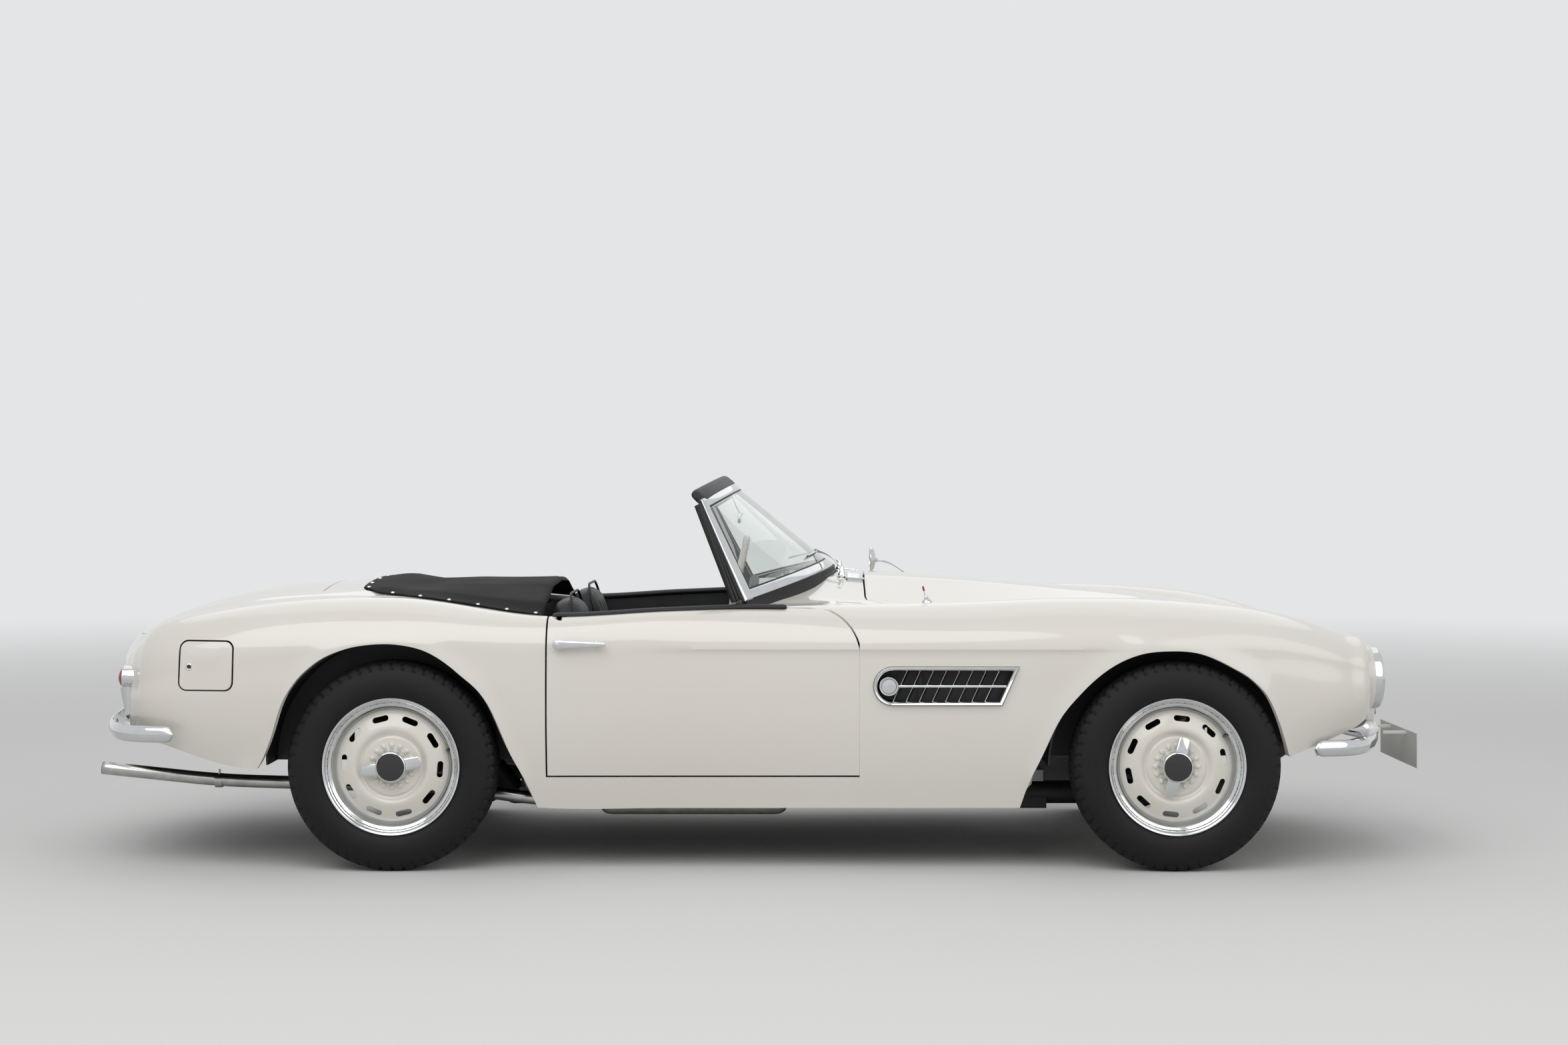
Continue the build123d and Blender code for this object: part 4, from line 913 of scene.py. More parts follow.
# Door handles: a cast teardrop on two short legs, chromed, with a push button at its thick end. Each is
# bolted on from inside the door.
HANDLE_X = (-649, -480)
HANDLE_Z = 719.5
HANDLE_FACE = 801
for letter, side, body in (("r", -1, "door_right"), ("l", 1, "door_left")):
    x = np.concatenate([np.linspace(HANDLE_X[0], HANDLE_X[0] + 16, 12)[:-1],
                        np.linspace(HANDLE_X[0] + 16, HANDLE_X[1] - 8, 18)[:-1],
                        np.linspace(HANDLE_X[1] - 8, HANDLE_X[1], 10)])
    share = (x - HANDLE_X[0]) / (HANDLE_X[1] - HANDLE_X[0])
    height = 15.5 + (7 - 15.5) * share
    tip = np.sqrt(np.clip(1 - (1 - np.clip((x - HANDLE_X[0]) / 15.5, 0, 1)) ** 2, 0.003, 1))
    tip *= np.sqrt(np.clip(1 - (1 - np.clip((HANDLE_X[1] - x) / 7, 0, 1)) ** 2, 0.003, 1))
    path = np.stack([x, np.full(len(x), side * (HANDLE_FACE + 4.5)), np.full(len(x), HANDLE_Z)], axis=1)
    parts = [swept(path, oval(1, 1, 28, 2.6), scale=np.stack([6.5 * tip, height * tip], axis=1))]
    for leg in (-625, -510):
        wide = 9 if leg < -600 else 6.5
        skin_at = float(side_width(np.array([leg + 0.0]), np.array([HANDLE_Z]))[0])
        legs = turned([(wide, HANDLE_FACE + 1), (wide, skin_at + 3), (wide + 3, skin_at + 0.5),
                       (wide + 3.5, skin_at - 5)], (leg, 0, HANDLE_Z), (0, side, 0), 28)
        parts.append(legs)
    button = turned([(0, HANDLE_FACE + 12), (4, HANDLE_FACE + 11.8), (5.5, HANDLE_FACE + 10.6),
                     (5.5, HANDLE_FACE + 6)], (-633, 0, HANDLE_Z), (0, side, 0), 24)
    handle = mesh_object("door_handle_" + letter + "_grip", *joined(parts + [button]), chrome_plate)
    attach(handle, body)
    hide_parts("door_handle_" + letter)

# Bumpers: slim blades of pressed steel, chromed, wrapped round the ends of the body. Each is bolted to
# steel irons that come from the frame.
FRONT_BLADE = [(1765, 742), (1925, 705), (2018, 470), (2130, 0)]
FRONT_BLADE_Z = 385
REAR_BLADE = [(-1849, 775), (-2030, 742), (-2130, 480), (-2201, 0)]
REAR_BLADE_Z = 433
FRONT_IRON = [(1850, 340, 330), (2042, 340, 385)]
REAR_IRON = [(-2040, 340, 388), (-2085, 340, 402), (-2148, 340, 425)]


def rounded_path(corners, reach, step=12):
    """Points a step apart along corner points, each corner turned on a round bend."""
    corners = [np.asarray(c, float) for c in corners]
    path = [corners[0]]
    for before, corner, after in zip(corners, corners[1:], corners[2:]):
        arms = [(end - corner) for end in (before, after)]
        start, end = [corner + arm / np.linalg.norm(arm) * min(reach, 0.49 * np.linalg.norm(arm))
                      for arm in arms]
        path += [start * (1 - t) ** 2 + 2 * corner * t * (1 - t) + end * t * t for t in np.linspace(0, 1, 13)]
    path = np.array(path + [corners[-1]])
    run = np.concatenate([[0], np.cumsum(np.linalg.norm(np.diff(path, axis=0), axis=1))])
    spots = np.linspace(0, run[-1], max(2, int(run[-1] / step) + 1))
    return np.stack([np.interp(spots, run, path[:, k]) for k in range(3)], axis=1)


# Ridge along the middle of the blade's outer face, and a flat back
blade_section = [(9, 0), (8.2, 5), (6.2, 12), (3, 19), (-2, 25), (-5, 26), (-6.5, 24), (-5.5, 12),
                 (-5.5, 0), (-5.5, -12), (-6.5, -24), (-5, -26), (-2, -25), (3, -19), (6.2, -12), (8.2, -5)]
BUMPERS = [("bumper_front", FRONT_BLADE, FRONT_BLADE_Z, FRONT_IRON, 1),
           ("bumper_rear", REAR_BLADE, REAR_BLADE_Z, REAR_IRON, -1)]
for name, corners, height, irons, sign in BUMPERS:
    right = [(x, -w, height) for x, w in corners]
    path = rounded_path(right + [(x, -y, z) for x, y, z in reversed(right[:-1])], 130, 9)
    run = np.concatenate([[0], np.cumsum(np.linalg.norm(np.diff(path, axis=0), axis=1))])
    near_end = np.clip(np.minimum(run, run[-1] - run) / 32, 0, 1)
    ends = np.sqrt(np.clip(1 - (1 - near_end) ** 2, 0.01, 1))
    section = np.array(blade_section)
    section[:, 0] *= sign
    parts = [swept(path, section, scale=np.stack([0.35 + 0.65 * ends, ends], axis=1))]
    for side in (-1, 1):
        parts.append(swept(rounded_path([(x, side * w, z) for x, w, z in irons], 40, 10), oval(11, 11)))
        x, w, z = irons[-1]
        parts.append(turned([(0, 12), (8, 11.5), (11, 8), (12, 0), (12, -6)],
                            (x - 3 * sign, side * w, height), (sign, 0, 0), 32))
    bumper = mesh_object(name + "_blade", *joined(parts), chrome_plate, sharp=38)
    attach(bumper, "chassis")
    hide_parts(name)

# Number plate: a steel sheet with a rolled edge, stove enamelled and left blank. Two brackets hold it
# in front of the bumper.
white_enamel, tree, shader = new_material("white_enamel", Roughness=0.5)
mottle(tree, shader, ("#DCDCD6", "#E2E2DD"), 180, (0.45, 0.55))
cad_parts["number_plate"].data.materials.clear()
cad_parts["number_plate"].data.materials.append(white_enamel)

# Grilles: a chromed rim pressed into each opening of the nose, and upright bars of chromed strip behind
# it, in front of the dark radiator.


def copies(name, kind, item, material, spots=(), **sizes):
    """Pieces repeated by geometry nodes in a ring, in a row or on spots, as a plain mesh object."""
    tree = bpy.data.node_groups.get(kind) or copy_tree(kind)
    mesh = bpy.data.meshes.new(name)
    mesh.from_pydata([Vector(spot) / 1000 for spot in spots], [], [])
    holder = bpy.data.objects.new(name, mesh)
    bpy.context.scene.collection.objects.link(holder)
    maker = holder.modifiers.new("copies", "NODES")
    maker.node_group = tree
    values = dict(sizes, Item=item, Material=material)
    for socket in tree.interface.items_tree:
        if socket.in_out == "INPUT" and socket.name in values:
            maker[socket.identifier] = values[socket.name]
    bpy.context.view_layer.update()
    evaluated = holder.evaluated_get(bpy.context.evaluated_depsgraph_get())
    mesh = bpy.data.meshes.new_from_object(evaluated)
    holder.modifiers.clear()
    holder.data = mesh
    bpy.data.objects.remove(item)
    return holder


def copy_tree(kind):
    """A node tree that sets an item on points in a "ring" about Z, in a "row" or on given "spots"."""
    tree = bpy.data.node_groups.new(kind, "GeometryNodeTree")
    face = tree.interface
    face.new_socket("Geometry", in_out="INPUT", socket_type="NodeSocketGeometry")
    face.new_socket("Item", in_out="INPUT", socket_type="NodeSocketObject")
    face.new_socket("Material", in_out="INPUT", socket_type="NodeSocketMaterial")
    if kind != "spots":
        face.new_socket("Count", in_out="INPUT", socket_type="NodeSocketInt")
    if kind == "ring":
        face.new_socket("Radius", in_out="INPUT", socket_type="NodeSocketFloat")
    if kind == "row":
        face.new_socket("Start", in_out="INPUT", socket_type="NodeSocketVector")
        face.new_socket("Pitch", in_out="INPUT", socket_type="NodeSocketVector")
    face.new_socket("Geometry", in_out="OUTPUT", socket_type="NodeSocketGeometry")
    inputs = add_node(tree, "NodeGroupInput").outputs
    item = add_node(tree, "GeometryNodeObjectInfo", {"Object": inputs["Item"]})
    if kind == "ring":
        points = add_node(tree, "GeometryNodeMeshCircle",
                          {"Vertices": inputs["Count"], "Radius": inputs["Radius"]})
        place = add_node(tree, "GeometryNodeInputPosition")
        turn = add_node(tree, "FunctionNodeAlignRotationToVector", {"Vector": place.outputs["Position"]},
                        axis="X", pivot_axis="Z")
        links = {"Points": points.outputs["Mesh"], "Instance": item.outputs["Geometry"],
                 "Rotation": turn.outputs["Rotation"]}
    elif kind == "row":
        points = add_node(tree, "GeometryNodeMeshLine",
                          {"Count": inputs["Count"], "Start Location": inputs["Start"],
                           "Offset": inputs["Pitch"]})
        links = {"Points": points.outputs["Mesh"], "Instance": item.outputs["Geometry"]}
    else:
        links = {"Points": inputs["Geometry"], "Instance": item.outputs["Geometry"]}
    spread = add_node(tree, "GeometryNodeInstanceOnPoints", links)
    real = add_node(tree, "GeometryNodeRealizeInstances", {"Geometry": spread.outputs["Instances"]})
    painted = add_node(tree, "GeometryNodeSetMaterial",
                       {"Geometry": real.outputs["Geometry"], "Material": inputs["Material"]})
    add_node(tree, "NodeGroupOutput", {"Geometry": painted.outputs["Geometry"]})
    return tree


def merged(name, pieces, material=None):
    """Several mesh objects as one, with their materials kept, or one material for all."""
    shape = bmesh.new()
    materials = []
    for piece in pieces:
        start = len(shape.faces)
        shape.from_mesh(piece.data)
        shape.faces.ensure_lookup_table()
        kept = list(piece.data.materials)
        for face in shape.faces[start:]:
            own = kept[face.material_index]
            if own not in materials:
                materials.append(own)
            face.material_index = materials.index(own)
    mesh = bpy.data.meshes.new(name)
    shape.to_mesh(mesh)
    shape.free()
    for own in materials:
        mesh.materials.append(own)
    whole = bpy.data.objects.new(name, mesh)
    bpy.context.scene.collection.objects.link(whole)
    for piece in pieces:
        bpy.data.objects.remove(piece)
    return whole


GRILLE_BARS = 12
grille_parts = []
for side in (-1, 1):
    low, high = (GRILLE_Y[0] + 2, GRILLE_Z[0] + 2), (GRILLE_Y[1] - 2, GRILLE_Z[1] - 2)
    rim_path = [(GRILLE_FACE_X - 1, side * y, z) for y, z in rounded_outline(low, high, 53, 12)]
    rim = mesh_object("grille_rim", *swept(rim_path, oval(6, 6, 16), up=(1, 0, 0), closed=True), chrome_plate)
    pitch = (GRILLE_Y[1] - GRILLE_Y[0]) / GRILLE_BARS
    bar_path = [(2092 - 10 * math.cos(math.pi * (k / 10 - 0.5)) * 0.4, 0,
                 GRILLE_Z[0] - 6 + (GRILLE_Z[1] - GRILLE_Z[0] + 12) * k / 10) for k in range(11)]
    bar = mesh_object("grille_bar", *swept(bar_path, oval(2.6, 13, 16, 2.6), up=(1, 0, 0)), chrome_plate)
    start = (0, side * (GRILLE_Y[0] + pitch) / 1000, 0)
    bars = copies("grille_bars", "row", bar, chrome_plate, Count=GRILLE_BARS - 1, Start=start,
                  Pitch=(0, side * pitch / 1000, 0))
    grille_parts += [rim, bars]
grille = merged("grille_bars_and_rims", grille_parts)
coords = swept_ends([v.co for v in grille.data.vertices])
grille.data.vertices.foreach_set("co", coords.ravel())
grille.data.update()
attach(grille, "chassis")
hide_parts("grilles")

# Radiator: thin folded fins between two tanks, soldered and painted black. Only its face is seen,
# through the grilles.
fins = []
for k in range(116):
    y = -372 + 744 * k / 115
    fins.append((2036 + (3 if k % 2 else -3), y))
rows = [[(x, y, z) for x, y in fins] for z in (440, 606)]
core = swept_ends(np.array(rows).reshape(-1, 3) / 1000)
radiator = mesh_object("radiator_core", core, grid_faces(2, len(fins)), chassis_paint, sharp=10)
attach(radiator, "chassis")

# Headlamps: a deep bright bowl behind a pressed glass with flutes, held by a chromed ring at the end
# of a painted sleeve that is welded into the wing.


def skin_outlines(stations):
    """The closed half section of the skin at each station."""
    x, t = np.meshgrid(stations, np.linspace(0, 6, 90), indexing="ij")
    w, z = skin(x, t)
    closing = np.stack([np.zeros(len(stations)), z[:, -1]], axis=-1)
    return np.concatenate([np.stack([w, z], axis=-1), closing[:, None]], axis=1)


def is_inside(corners, y, z):
    a, b = corners, np.roll(corners, -1, axis=0)
    crosses = (a[:, 1] > z) != (b[:, 1] > z)
    a, b = a[crosses], b[crosses]
    meets = a[:, 0] + (z - a[:, 1]) / (b[:, 1] - a[:, 1]) * (b[:, 0] - a[:, 0])
    return np.count_nonzero(y < meets) % 2 == 1


def sleeve(centre, radius, stations, side, steps=72):
    """A painted tube round a lamp, from inside the body to the edge of the hole in its skin."""
    outlines = skin_outlines(stations)
    ends = []
    for k in range(steps):
        y = centre[1] + radius * math.cos(2 * math.pi * k / steps)
        z = centre[2] + radius * math.sin(2 * math.pi * k / steps)
        last = stations[0]
        for x, corners in zip(stations, outlines):
            if is_inside(corners, y, z):
                last = x
        ends.append((y, z, last))
    start = stations[0]
    points = np.array([[(start + (x - start) * share, side * y, z) for y, z, x in ends]
                       for share in np.linspace(0, 1, 5)])
    points = np.concatenate([points, points[:, :1]], axis=1) / 1000
    return swept_ends(points).reshape(-1, 3), grid_faces(5, steps + 1)


headlamp_stations = np.arange(1890, NOSE_END + 1, 2.5)
sleeves, rings, bowls, lenses = [], [], [], []
for side in (-1, 1):
    sleeves.append(sleeve(HEADLAMP, HEADLAMP_RADIUS + 2.5, headlamp_stations, side))
    spot = (HEADLAMP[0], side * HEADLAMP[1], HEADLAMP[2])
    r = HEADLAMP_RADIUS
    sleeves.append(turned([(r + 17, -80), (r + 10, -56), (r + 5.5, -32), (r + 3.8, -18), (r + 2.6, -16),
                           (r + 0.8, -17)], spot, (1, 0, 0), 72))
    rings.append(turned([(r + 0.5, -28), (r + 0.5, 2), (r - 1, 8), (r - 5, 13), (r - 10, 16), (r - 14, 15),
                         (r - 15, 11), (r - 15, 0)], spot, (1, 0, 0), 72))
    bowls.append(turned([(r - 14, 6), (r - 17, -10), (r - 27, -32), (r - 45, -52), (r - 70, -64), (9, -68),
                         (9, -40), (6, -34), (0, -33)], spot, (1, 0, 0), 72))
    profile = [(r - 14.5, 10)] + [((r - 15) * math.cos(math.pi / 2 * k / 12),
                                   11 + 17 * math.sin(math.pi / 2 * k / 12)) for k in range(1, 13)]
    lenses.append(turned(profile, spot, (1, 0, 0), 72))
lamp_sleeves = mesh_object("headlamp_sleeves", *joined(sleeves), ivory_paint)
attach(lamp_sleeves, "chassis")
lamp_rings = mesh_object("headlamp_rings", *joined(rings), chrome_plate)
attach(lamp_rings, "chassis")
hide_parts("headlamps")
lamp_bowls = mesh_object("headlamp_bowls", *joined(bowls), chrome_plate)
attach(lamp_bowls, "chassis")

# Pressed lamp glass: clear, with upright flutes on the inside
lamp_glass, tree, shader = new_material("lamp_glass", Roughness=0.04, IOR=1.5, Transmission_Weight=1.0)
place = add_node(tree, "ShaderNodeTexCoord")
flutes = add_node(tree, "ShaderNodeTexWave", {"Vector": place.outputs["Object"]}, Scale=32.0,
                  Distortion=0.0, bands_direction="Y")
bump = add_node(tree, "ShaderNodeBump", {"Height": flutes.outputs["Fac"]}, Strength=0.45, Distance=0.0015)
tree.links.new(bump.outputs["Normal"], shader.inputs["Normal"])
ramp = add_node(tree, "ShaderNodeValToRGB", {"Fac": flutes.outputs["Fac"]})
ramp.color_ramp.elements[0].color = linear("#EDF3F2")
ramp.color_ramp.elements[1].color = linear("#FFFFFF")
tree.links.new(ramp.outputs["Color"], shader.inputs["Base Color"])
lamp_lenses = mesh_object("headlamp_lenses", *joined(lenses), lamp_glass)
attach(lamp_lenses, "chassis")

# Indicators: a spun bullet of chromed brass with a white ribbed lens, on a short stem from the blade
# of the front bumper.
INDICATOR = (1994, 620, 437)
INDICATOR_LENGTH = 144
white_lens, tree, shader = new_material("white_lens", Roughness=0.12, IOR=1.49, Subsurface_Weight=0.3,
        Coat_Weight=0.5)
mottle(tree, shader, ("#DDDCD8", "#EDECE8"), 12, (0.08, 0.2))
shells, lenses = [], []
for side in (-1, 1):
    x, w, z = INDICATOR
    spot = (x, side * w, z)
    profile = [(0, -INDICATOR_LENGTH), (6, -141), (13, -126), (20, -103), (25.5, -78), (28.5, -62),
               (30, -50), (30, -42), (28.5, -38), (26.5, -39), (26, -45)]
    shells.append(turned(profile, spot, (1, 0, 0), 48))
    shells.append(swept([(x - 52, side * (w + 4), z - 16), (x - 46, side * (w + 14), FRONT_BLADE_Z + 14)],
                        oval(8, 8), up=(1, 0, 0)))
    lens = [(26.3, -42), (26, -34), (24, -25), (23.6, -25.2), (20.5, -16.5), (20, -16.8), (14.5, -8),
            (14, -8.2), (7, -1.8), (0, 0)]
    lenses.append(turned(lens, spot, (1, 0, 0), 48))
indicator_shells = mesh_object("indicator_shells", *joined(shells), chrome_plate)
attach(indicator_shells, "chassis")
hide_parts("indicators")
indicator_lenses = mesh_object("indicator_lenses", *joined(lenses), white_lens)
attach(indicator_lenses, "chassis")

# Tail lamps: a chromed drum standing out of the wing in a painted sleeve, with a domed and ribbed red
# lens and a cast foot that runs down the tail.
red_lens, tree, shader = new_material("red_lens", Roughness=0.1, IOR=1.49, Coat_Weight=0.6)
place = add_node(tree, "ShaderNodeTexCoord")
ribs = add_node(tree, "ShaderNodeTexWave", {"Vector": place.outputs["Object"]}, Scale=70.0, Distortion=0.0,
                bands_direction="Z")
ramp = add_node(tree, "ShaderNodeValToRGB", {"Fac": ribs.outputs["Fac"]})
ramp.color_ramp.elements[0].color = linear("#6E0B0D")
ramp.color_ramp.elements[1].color = linear("#A3161A")
tree.links.new(ramp.outputs["Color"], shader.inputs["Base Color"])
drums, lenses = [], []
for side in (-1, 1):
    x, w, z = TAIL_LAMP
    spot = (x, side * w, z)
    drums.append(turned([(38, -40), (38, 8), (39, 10), (39, 14), (37, 17), (33, 18), (32, 15), (32, 8)],
                        spot, (-1, 0, 0), 56))
    dome = [(32 * math.cos(math.pi / 2 * k / 8), 14 + 20 * math.sin(math.pi / 2 * k / 8)) for k in range(9)]
    lenses.append(turned([(32.2, 12)] + dome, spot, (-1, 0, 0), 56))
for side in (-1, 1):
    height = np.linspace(572, 462, 24)
    share = (572 - height) / 110
    stem = np.stack([-2038 + 12 * share, np.full(24, side * 590.0), height], axis=1)
    girth = np.sqrt(np.clip(1 - (1 - np.clip((height - 460) / 26, 0, 1)) ** 2, 0.02, 1))
    taper = np.stack([(27 - 12 * share) * girth, (26 - 8 * share) * girth], axis=1)
    drums.append(swept(stem, oval(1, 1, 28), up=(-1, 0, 0), scale=taper))
tail_drums = mesh_object("tail_lamp_drums", *joined(drums), chrome_plate)
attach(tail_drums, "chassis")
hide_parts("tail_lamps")
tail_lenses = mesh_object("tail_lamp_lenses", *joined(lenses), red_lens)
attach(tail_lenses, "chassis")
tail_sleeves = mesh_object("tail_lamp_sleeves", *joined([
    sleeve(TAIL_LAMP, TAIL_LAMP_RADIUS + 2, np.arange(-1960, -2160, -2.5), side, 48) for side in (-1, 1)
]), ivory_paint)
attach(tail_sleeves, "chassis")

# Side vents: a broad cast frame, chromed, with slanted blades and a bar across them, set into the wing
# over a dark duct. The round boss is left plain.
VENT_BLADES = 8


def shrunk(outline, inset):
    """The outline with each point moved inwards."""
    points = np.asarray(outline, float)
    ahead, behind = np.roll(points, -1, 0) - points, points - np.roll(points, 1, 0)
    normals = []
    for d in (ahead, behind):
        d = d / np.linalg.norm(d, axis=1)[:, None]
        normals.append(np.stack([-d[:, 1], d[:, 0]], axis=1))
    normal = normals[0] + normals[1]
    normal *= 2 / np.sum(normal * normal, axis=1)[:, None]
    return points + normal * inset


vent_ring = vent_outline(0)
vent_parts = []
for side in (-1, 1):
    spots = [(0, 786), (1.5, 795), (4, 799), (8, 797), (12, 791), (14, 784), (15, 770)]
    loops = []
    for inset, depth in spots:
        loop = shrunk(vent_ring, inset)
        reach = side_width(loop[:, 0], loop[:, 1]) - 785
        loops.append(np.stack([loop[:, 0], side * (depth + reach), loop[:, 1]], axis=1))
    loops = np.array(loops)
    loops = np.concatenate([loops, loops[:, :1]], axis=1)
    rim = mesh_object("vent_rim", loops.reshape(-1, 3) / 1000, grid_faces(len(spots), loops.shape[1]),
                      chrome_plate, sharp=40)
    level = sum(VENT_Z) / 2
    bar_ends = [(VENT_X[0] + 70, side * 786, level), (VENT_X[1] - 42, side * 788, level)]
    bar = mesh_object("vent_bar", *swept(bar_ends, oval(4, 4.5, 16)), chrome_plate)
    height = VENT_Z[1] - VENT_Z[0] - 8
    low = (VENT_X[0] + 62, side * 781, VENT_Z[0] + 6)
    high = (VENT_X[0] + 62 + VENT_SLANT * height / 122, side * 781, VENT_Z[1] - 6)
    slat = swept([low, high], oval(1.8, 9, 16, 2.4), up=(-0.5, side, 0.2))
    blade = mesh_object("vent_blade", *slat, chrome_plate)
    pitch = (VENT_X[1] - VENT_X[0] - 130) / VENT_BLADES
    blades = copies("vent_blades", "row", blade, chrome_plate, Count=VENT_BLADES, Start=(0, 0, 0),
                    Pitch=(pitch / 1000, 0, 0))
    profile = [(0, 795), (14, 794.5), (22, 793), (23.5, 791), (25, 795), (29, 796), (31, 793), (32, 770)]
    boss = turned(profile, (VENT_X[0] + 49, 0, level), (0, side, 0), 56)
    boss = mesh_object("vent_boss", *boss, chrome_plate, sharp=40)
    vent_parts += [rim, bar, blades, boss]
vents = merged("side_vent_grilles", vent_parts)
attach(vents, "chassis")
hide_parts("side_vents")

# Ducts behind the vents: pressed steel trays in black chassis paint, spot welded to the inside of
# the wings.
trays = []
for side in (-1, 1):
    loops = []
    for inset, depth in ((0.5, 776), (3, 755), (14, 744), (40, 742)):
        loop = shrunk(vent_ring, inset)
        loops.append(np.stack([loop[:, 0], np.full(len(loop), side * depth), loop[:, 1]], axis=1))
    loops = np.array(loops)
    n = loops.shape[1]
    faces = grid_faces(4, n + 1)
    closed = np.concatenate([loops, loops[:, :1]], axis=1).reshape(-1, 3) / 1000
    trays.append((closed, faces + [tuple(range(3 * (n + 1), 4 * (n + 1) - 1))]))
ducts = mesh_object("vent_ducts", *joined(trays), chassis_paint)
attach(ducts, "chassis")

# Windscreen: one bent pane of safety glass in a broad chromed frame, bedded on the cowl in a strip
# of black rubber.
SCREEN_BASE = ((-45, 668, 848), (248, 0, 940))
SCREEN_TOP = ((-188, 600, 1169), (-96, 0, 1222))


def bow(line, u):
    """Points of the bent line through a side and a middle point: u is -1 on the right, 1 on the left."""
    (xs, w, zs), (xm, _, zm) = line
    depth = math.hypot(xm - xs, zm - zs)
    radius = (w * w + depth * depth) / (2 * depth)
    angle = np.asarray(u, float) * math.asin(w / radius)
    share = (depth - radius + radius * np.cos(angle)) / depth
    return np.stack([xs + (xm - xs) * share, radius * np.sin(angle), zs + (zm - zs) * share], axis=-1)


def pane(u, v):
    """Points of the bent pane, v from 0 at the base to 1 at the header."""
    v = np.asarray(v, float)[..., None]
    return bow(SCREEN_BASE, u) * (1 - v) + bow(SCREEN_TOP, u) * v


def pane_normal(u, v):
    """Directions straight out of the pane's front."""
    normal = np.cross(pane(u + 0.001, v) - pane(u - 0.001, v), pane(u, v + 0.001) - pane(u, v - 0.001))
    return normal / np.linalg.norm(normal, axis=-1)[..., None]


def pane_band(u, v, width, thick, power=4.0, out=0.0):
    """A bar of a given width that lies along the pane."""
    u, v = np.broadcast_arrays(np.asarray(u, float), np.asarray(v, float))
    normal = pane_normal(u, v)
    return swept(pane(u, v) + normal * out, oval(width / 2, thick / 2, 28, power), up=normal)


# Clear safety glass, faintly green at its edges
screen_glass, tree, shader = new_material("screen_glass", Roughness=0.0, IOR=1.5, Transmission_Weight=1.0)
mottle(tree, shader, ("#EEF4F1", "#F5F9F7"), 300)
u, v = np.meshgrid(np.linspace(-0.985, 0.985, 61), np.linspace(0.01, 0.99, 15))
points = pane(u, v).reshape(-1, 3) / 1000
glass = mesh_object("windscreen_pane", points, grid_faces(15, 61), screen_glass)
wall_maker = glass.modifiers.new("wall", "SOLIDIFY")
wall_maker.thickness = 0.006
wall_maker.offset = 0
finish_mesh(glass)
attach(glass, "chassis")
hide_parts("windscreen_glass")

along, rise = np.linspace(-0.985, 0.985, 80), np.linspace(0.0, 1.0, 24)
bands = [pane_band(along, 0.045, 34, 15), pane_band(along, 0.968, 30, 17)]
for side in (-1, 1):
    bands.append(pane_band(side * 0.978, rise, 40, 17))
    corners = pane_band(side * np.linspace(0.955, 0.99, 6), 0.955, 44, 18)
    bands.append(corners)
screen_frame = mesh_object("windscreen_bands", *joined(bands), chrome_plate, sharp=45)
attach(screen_frame, "chassis")
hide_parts("windscreen_frame")

# Black rubber: dull, with a little bloom
black_rubber, tree, shader = new_material("black_rubber", Roughness=0.6)
mottle(tree, shader, ("#0C0C0D", "#171718"), 25, (0.5, 0.7), 0.2)
strips = [pane_band(along, 0.045, 45, 10), pane_band(along, 0.968, 40, 10)]
for side in (-1, 1):
    strips.append(pane_band(side * 0.978, rise, 51, 10))
    for place_u, wide in ((1.018, 9), (1.034, 12), (1.052, 11)):
        strips.append(pane_band(side * place_u, np.linspace(0.035, 0.985, 24), wide, 20, 3.0, -4))
rings = []
for place_u in np.linspace(-1, 1, 81):
    x, y, z = bow(SCREEN_BASE, place_u)
    foot = float(skin(np.array([x]), place_at_width(np.array([x]), np.array([abs(y)]), 0.0, 4.0))[1][0])
    ahead = pane_normal(np.array(place_u), np.array(0.0))[:2]
    ahead = ahead / np.linalg.norm(ahead)
    middle = (z + foot) / 2
    ring = [(-7, z + 6), (7, z + 6), (9, middle), (15, foot + 3), (17, foot - 4), (-17, foot - 4),
            (-15, foot + 3), (-9, middle)]
    rings.append([(x + d * ahead[0], y + d * ahead[1], h) for d, h in ring])
n = len(rings[0])
faces = [(i * n + j, i * n + (j + 1) % n, (i + 1) * n + (j + 1) % n, (i + 1) * n + j) for i in range(80)
         for j in range(n)]
faces += [tuple(range(n)), tuple(range(80 * n, 81 * n))]
strips.append((np.array(rings).reshape(-1, 3) / 1000, faces))
gaskets = mesh_object("windscreen_rubber", *joined(strips), black_rubber)
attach(gaskets, "chassis")

# Sun visors: two pads of board under black leather, lightly stuffed, that are folded up behind the
# header of the windscreen.
visors = []
for side in (-1, 1):
    u = side * np.linspace(0.985, 0.06, 40)
    path = bow(SCREEN_TOP, u) + np.array([-16, 0, 6])
    run = np.concatenate([[0], np.cumsum(np.linalg.norm(np.diff(path, axis=0), axis=1))])
    near_end = np.clip(np.minimum(run, run[-1] - run) / 30, 0, 1)
    ends = 0.25 + 0.75 * np.sqrt(np.clip(1 - (1 - near_end) ** 2, 0, 1))
    visors.append(swept(path, oval(15, 30, 28, 3.0), up=(-0.75, 0, 0.66),
                        scale=np.stack([ends, ends], axis=1)))
visor = mesh_object("sun_visors", *joined(visors), black_leather)
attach(visor, "chassis")

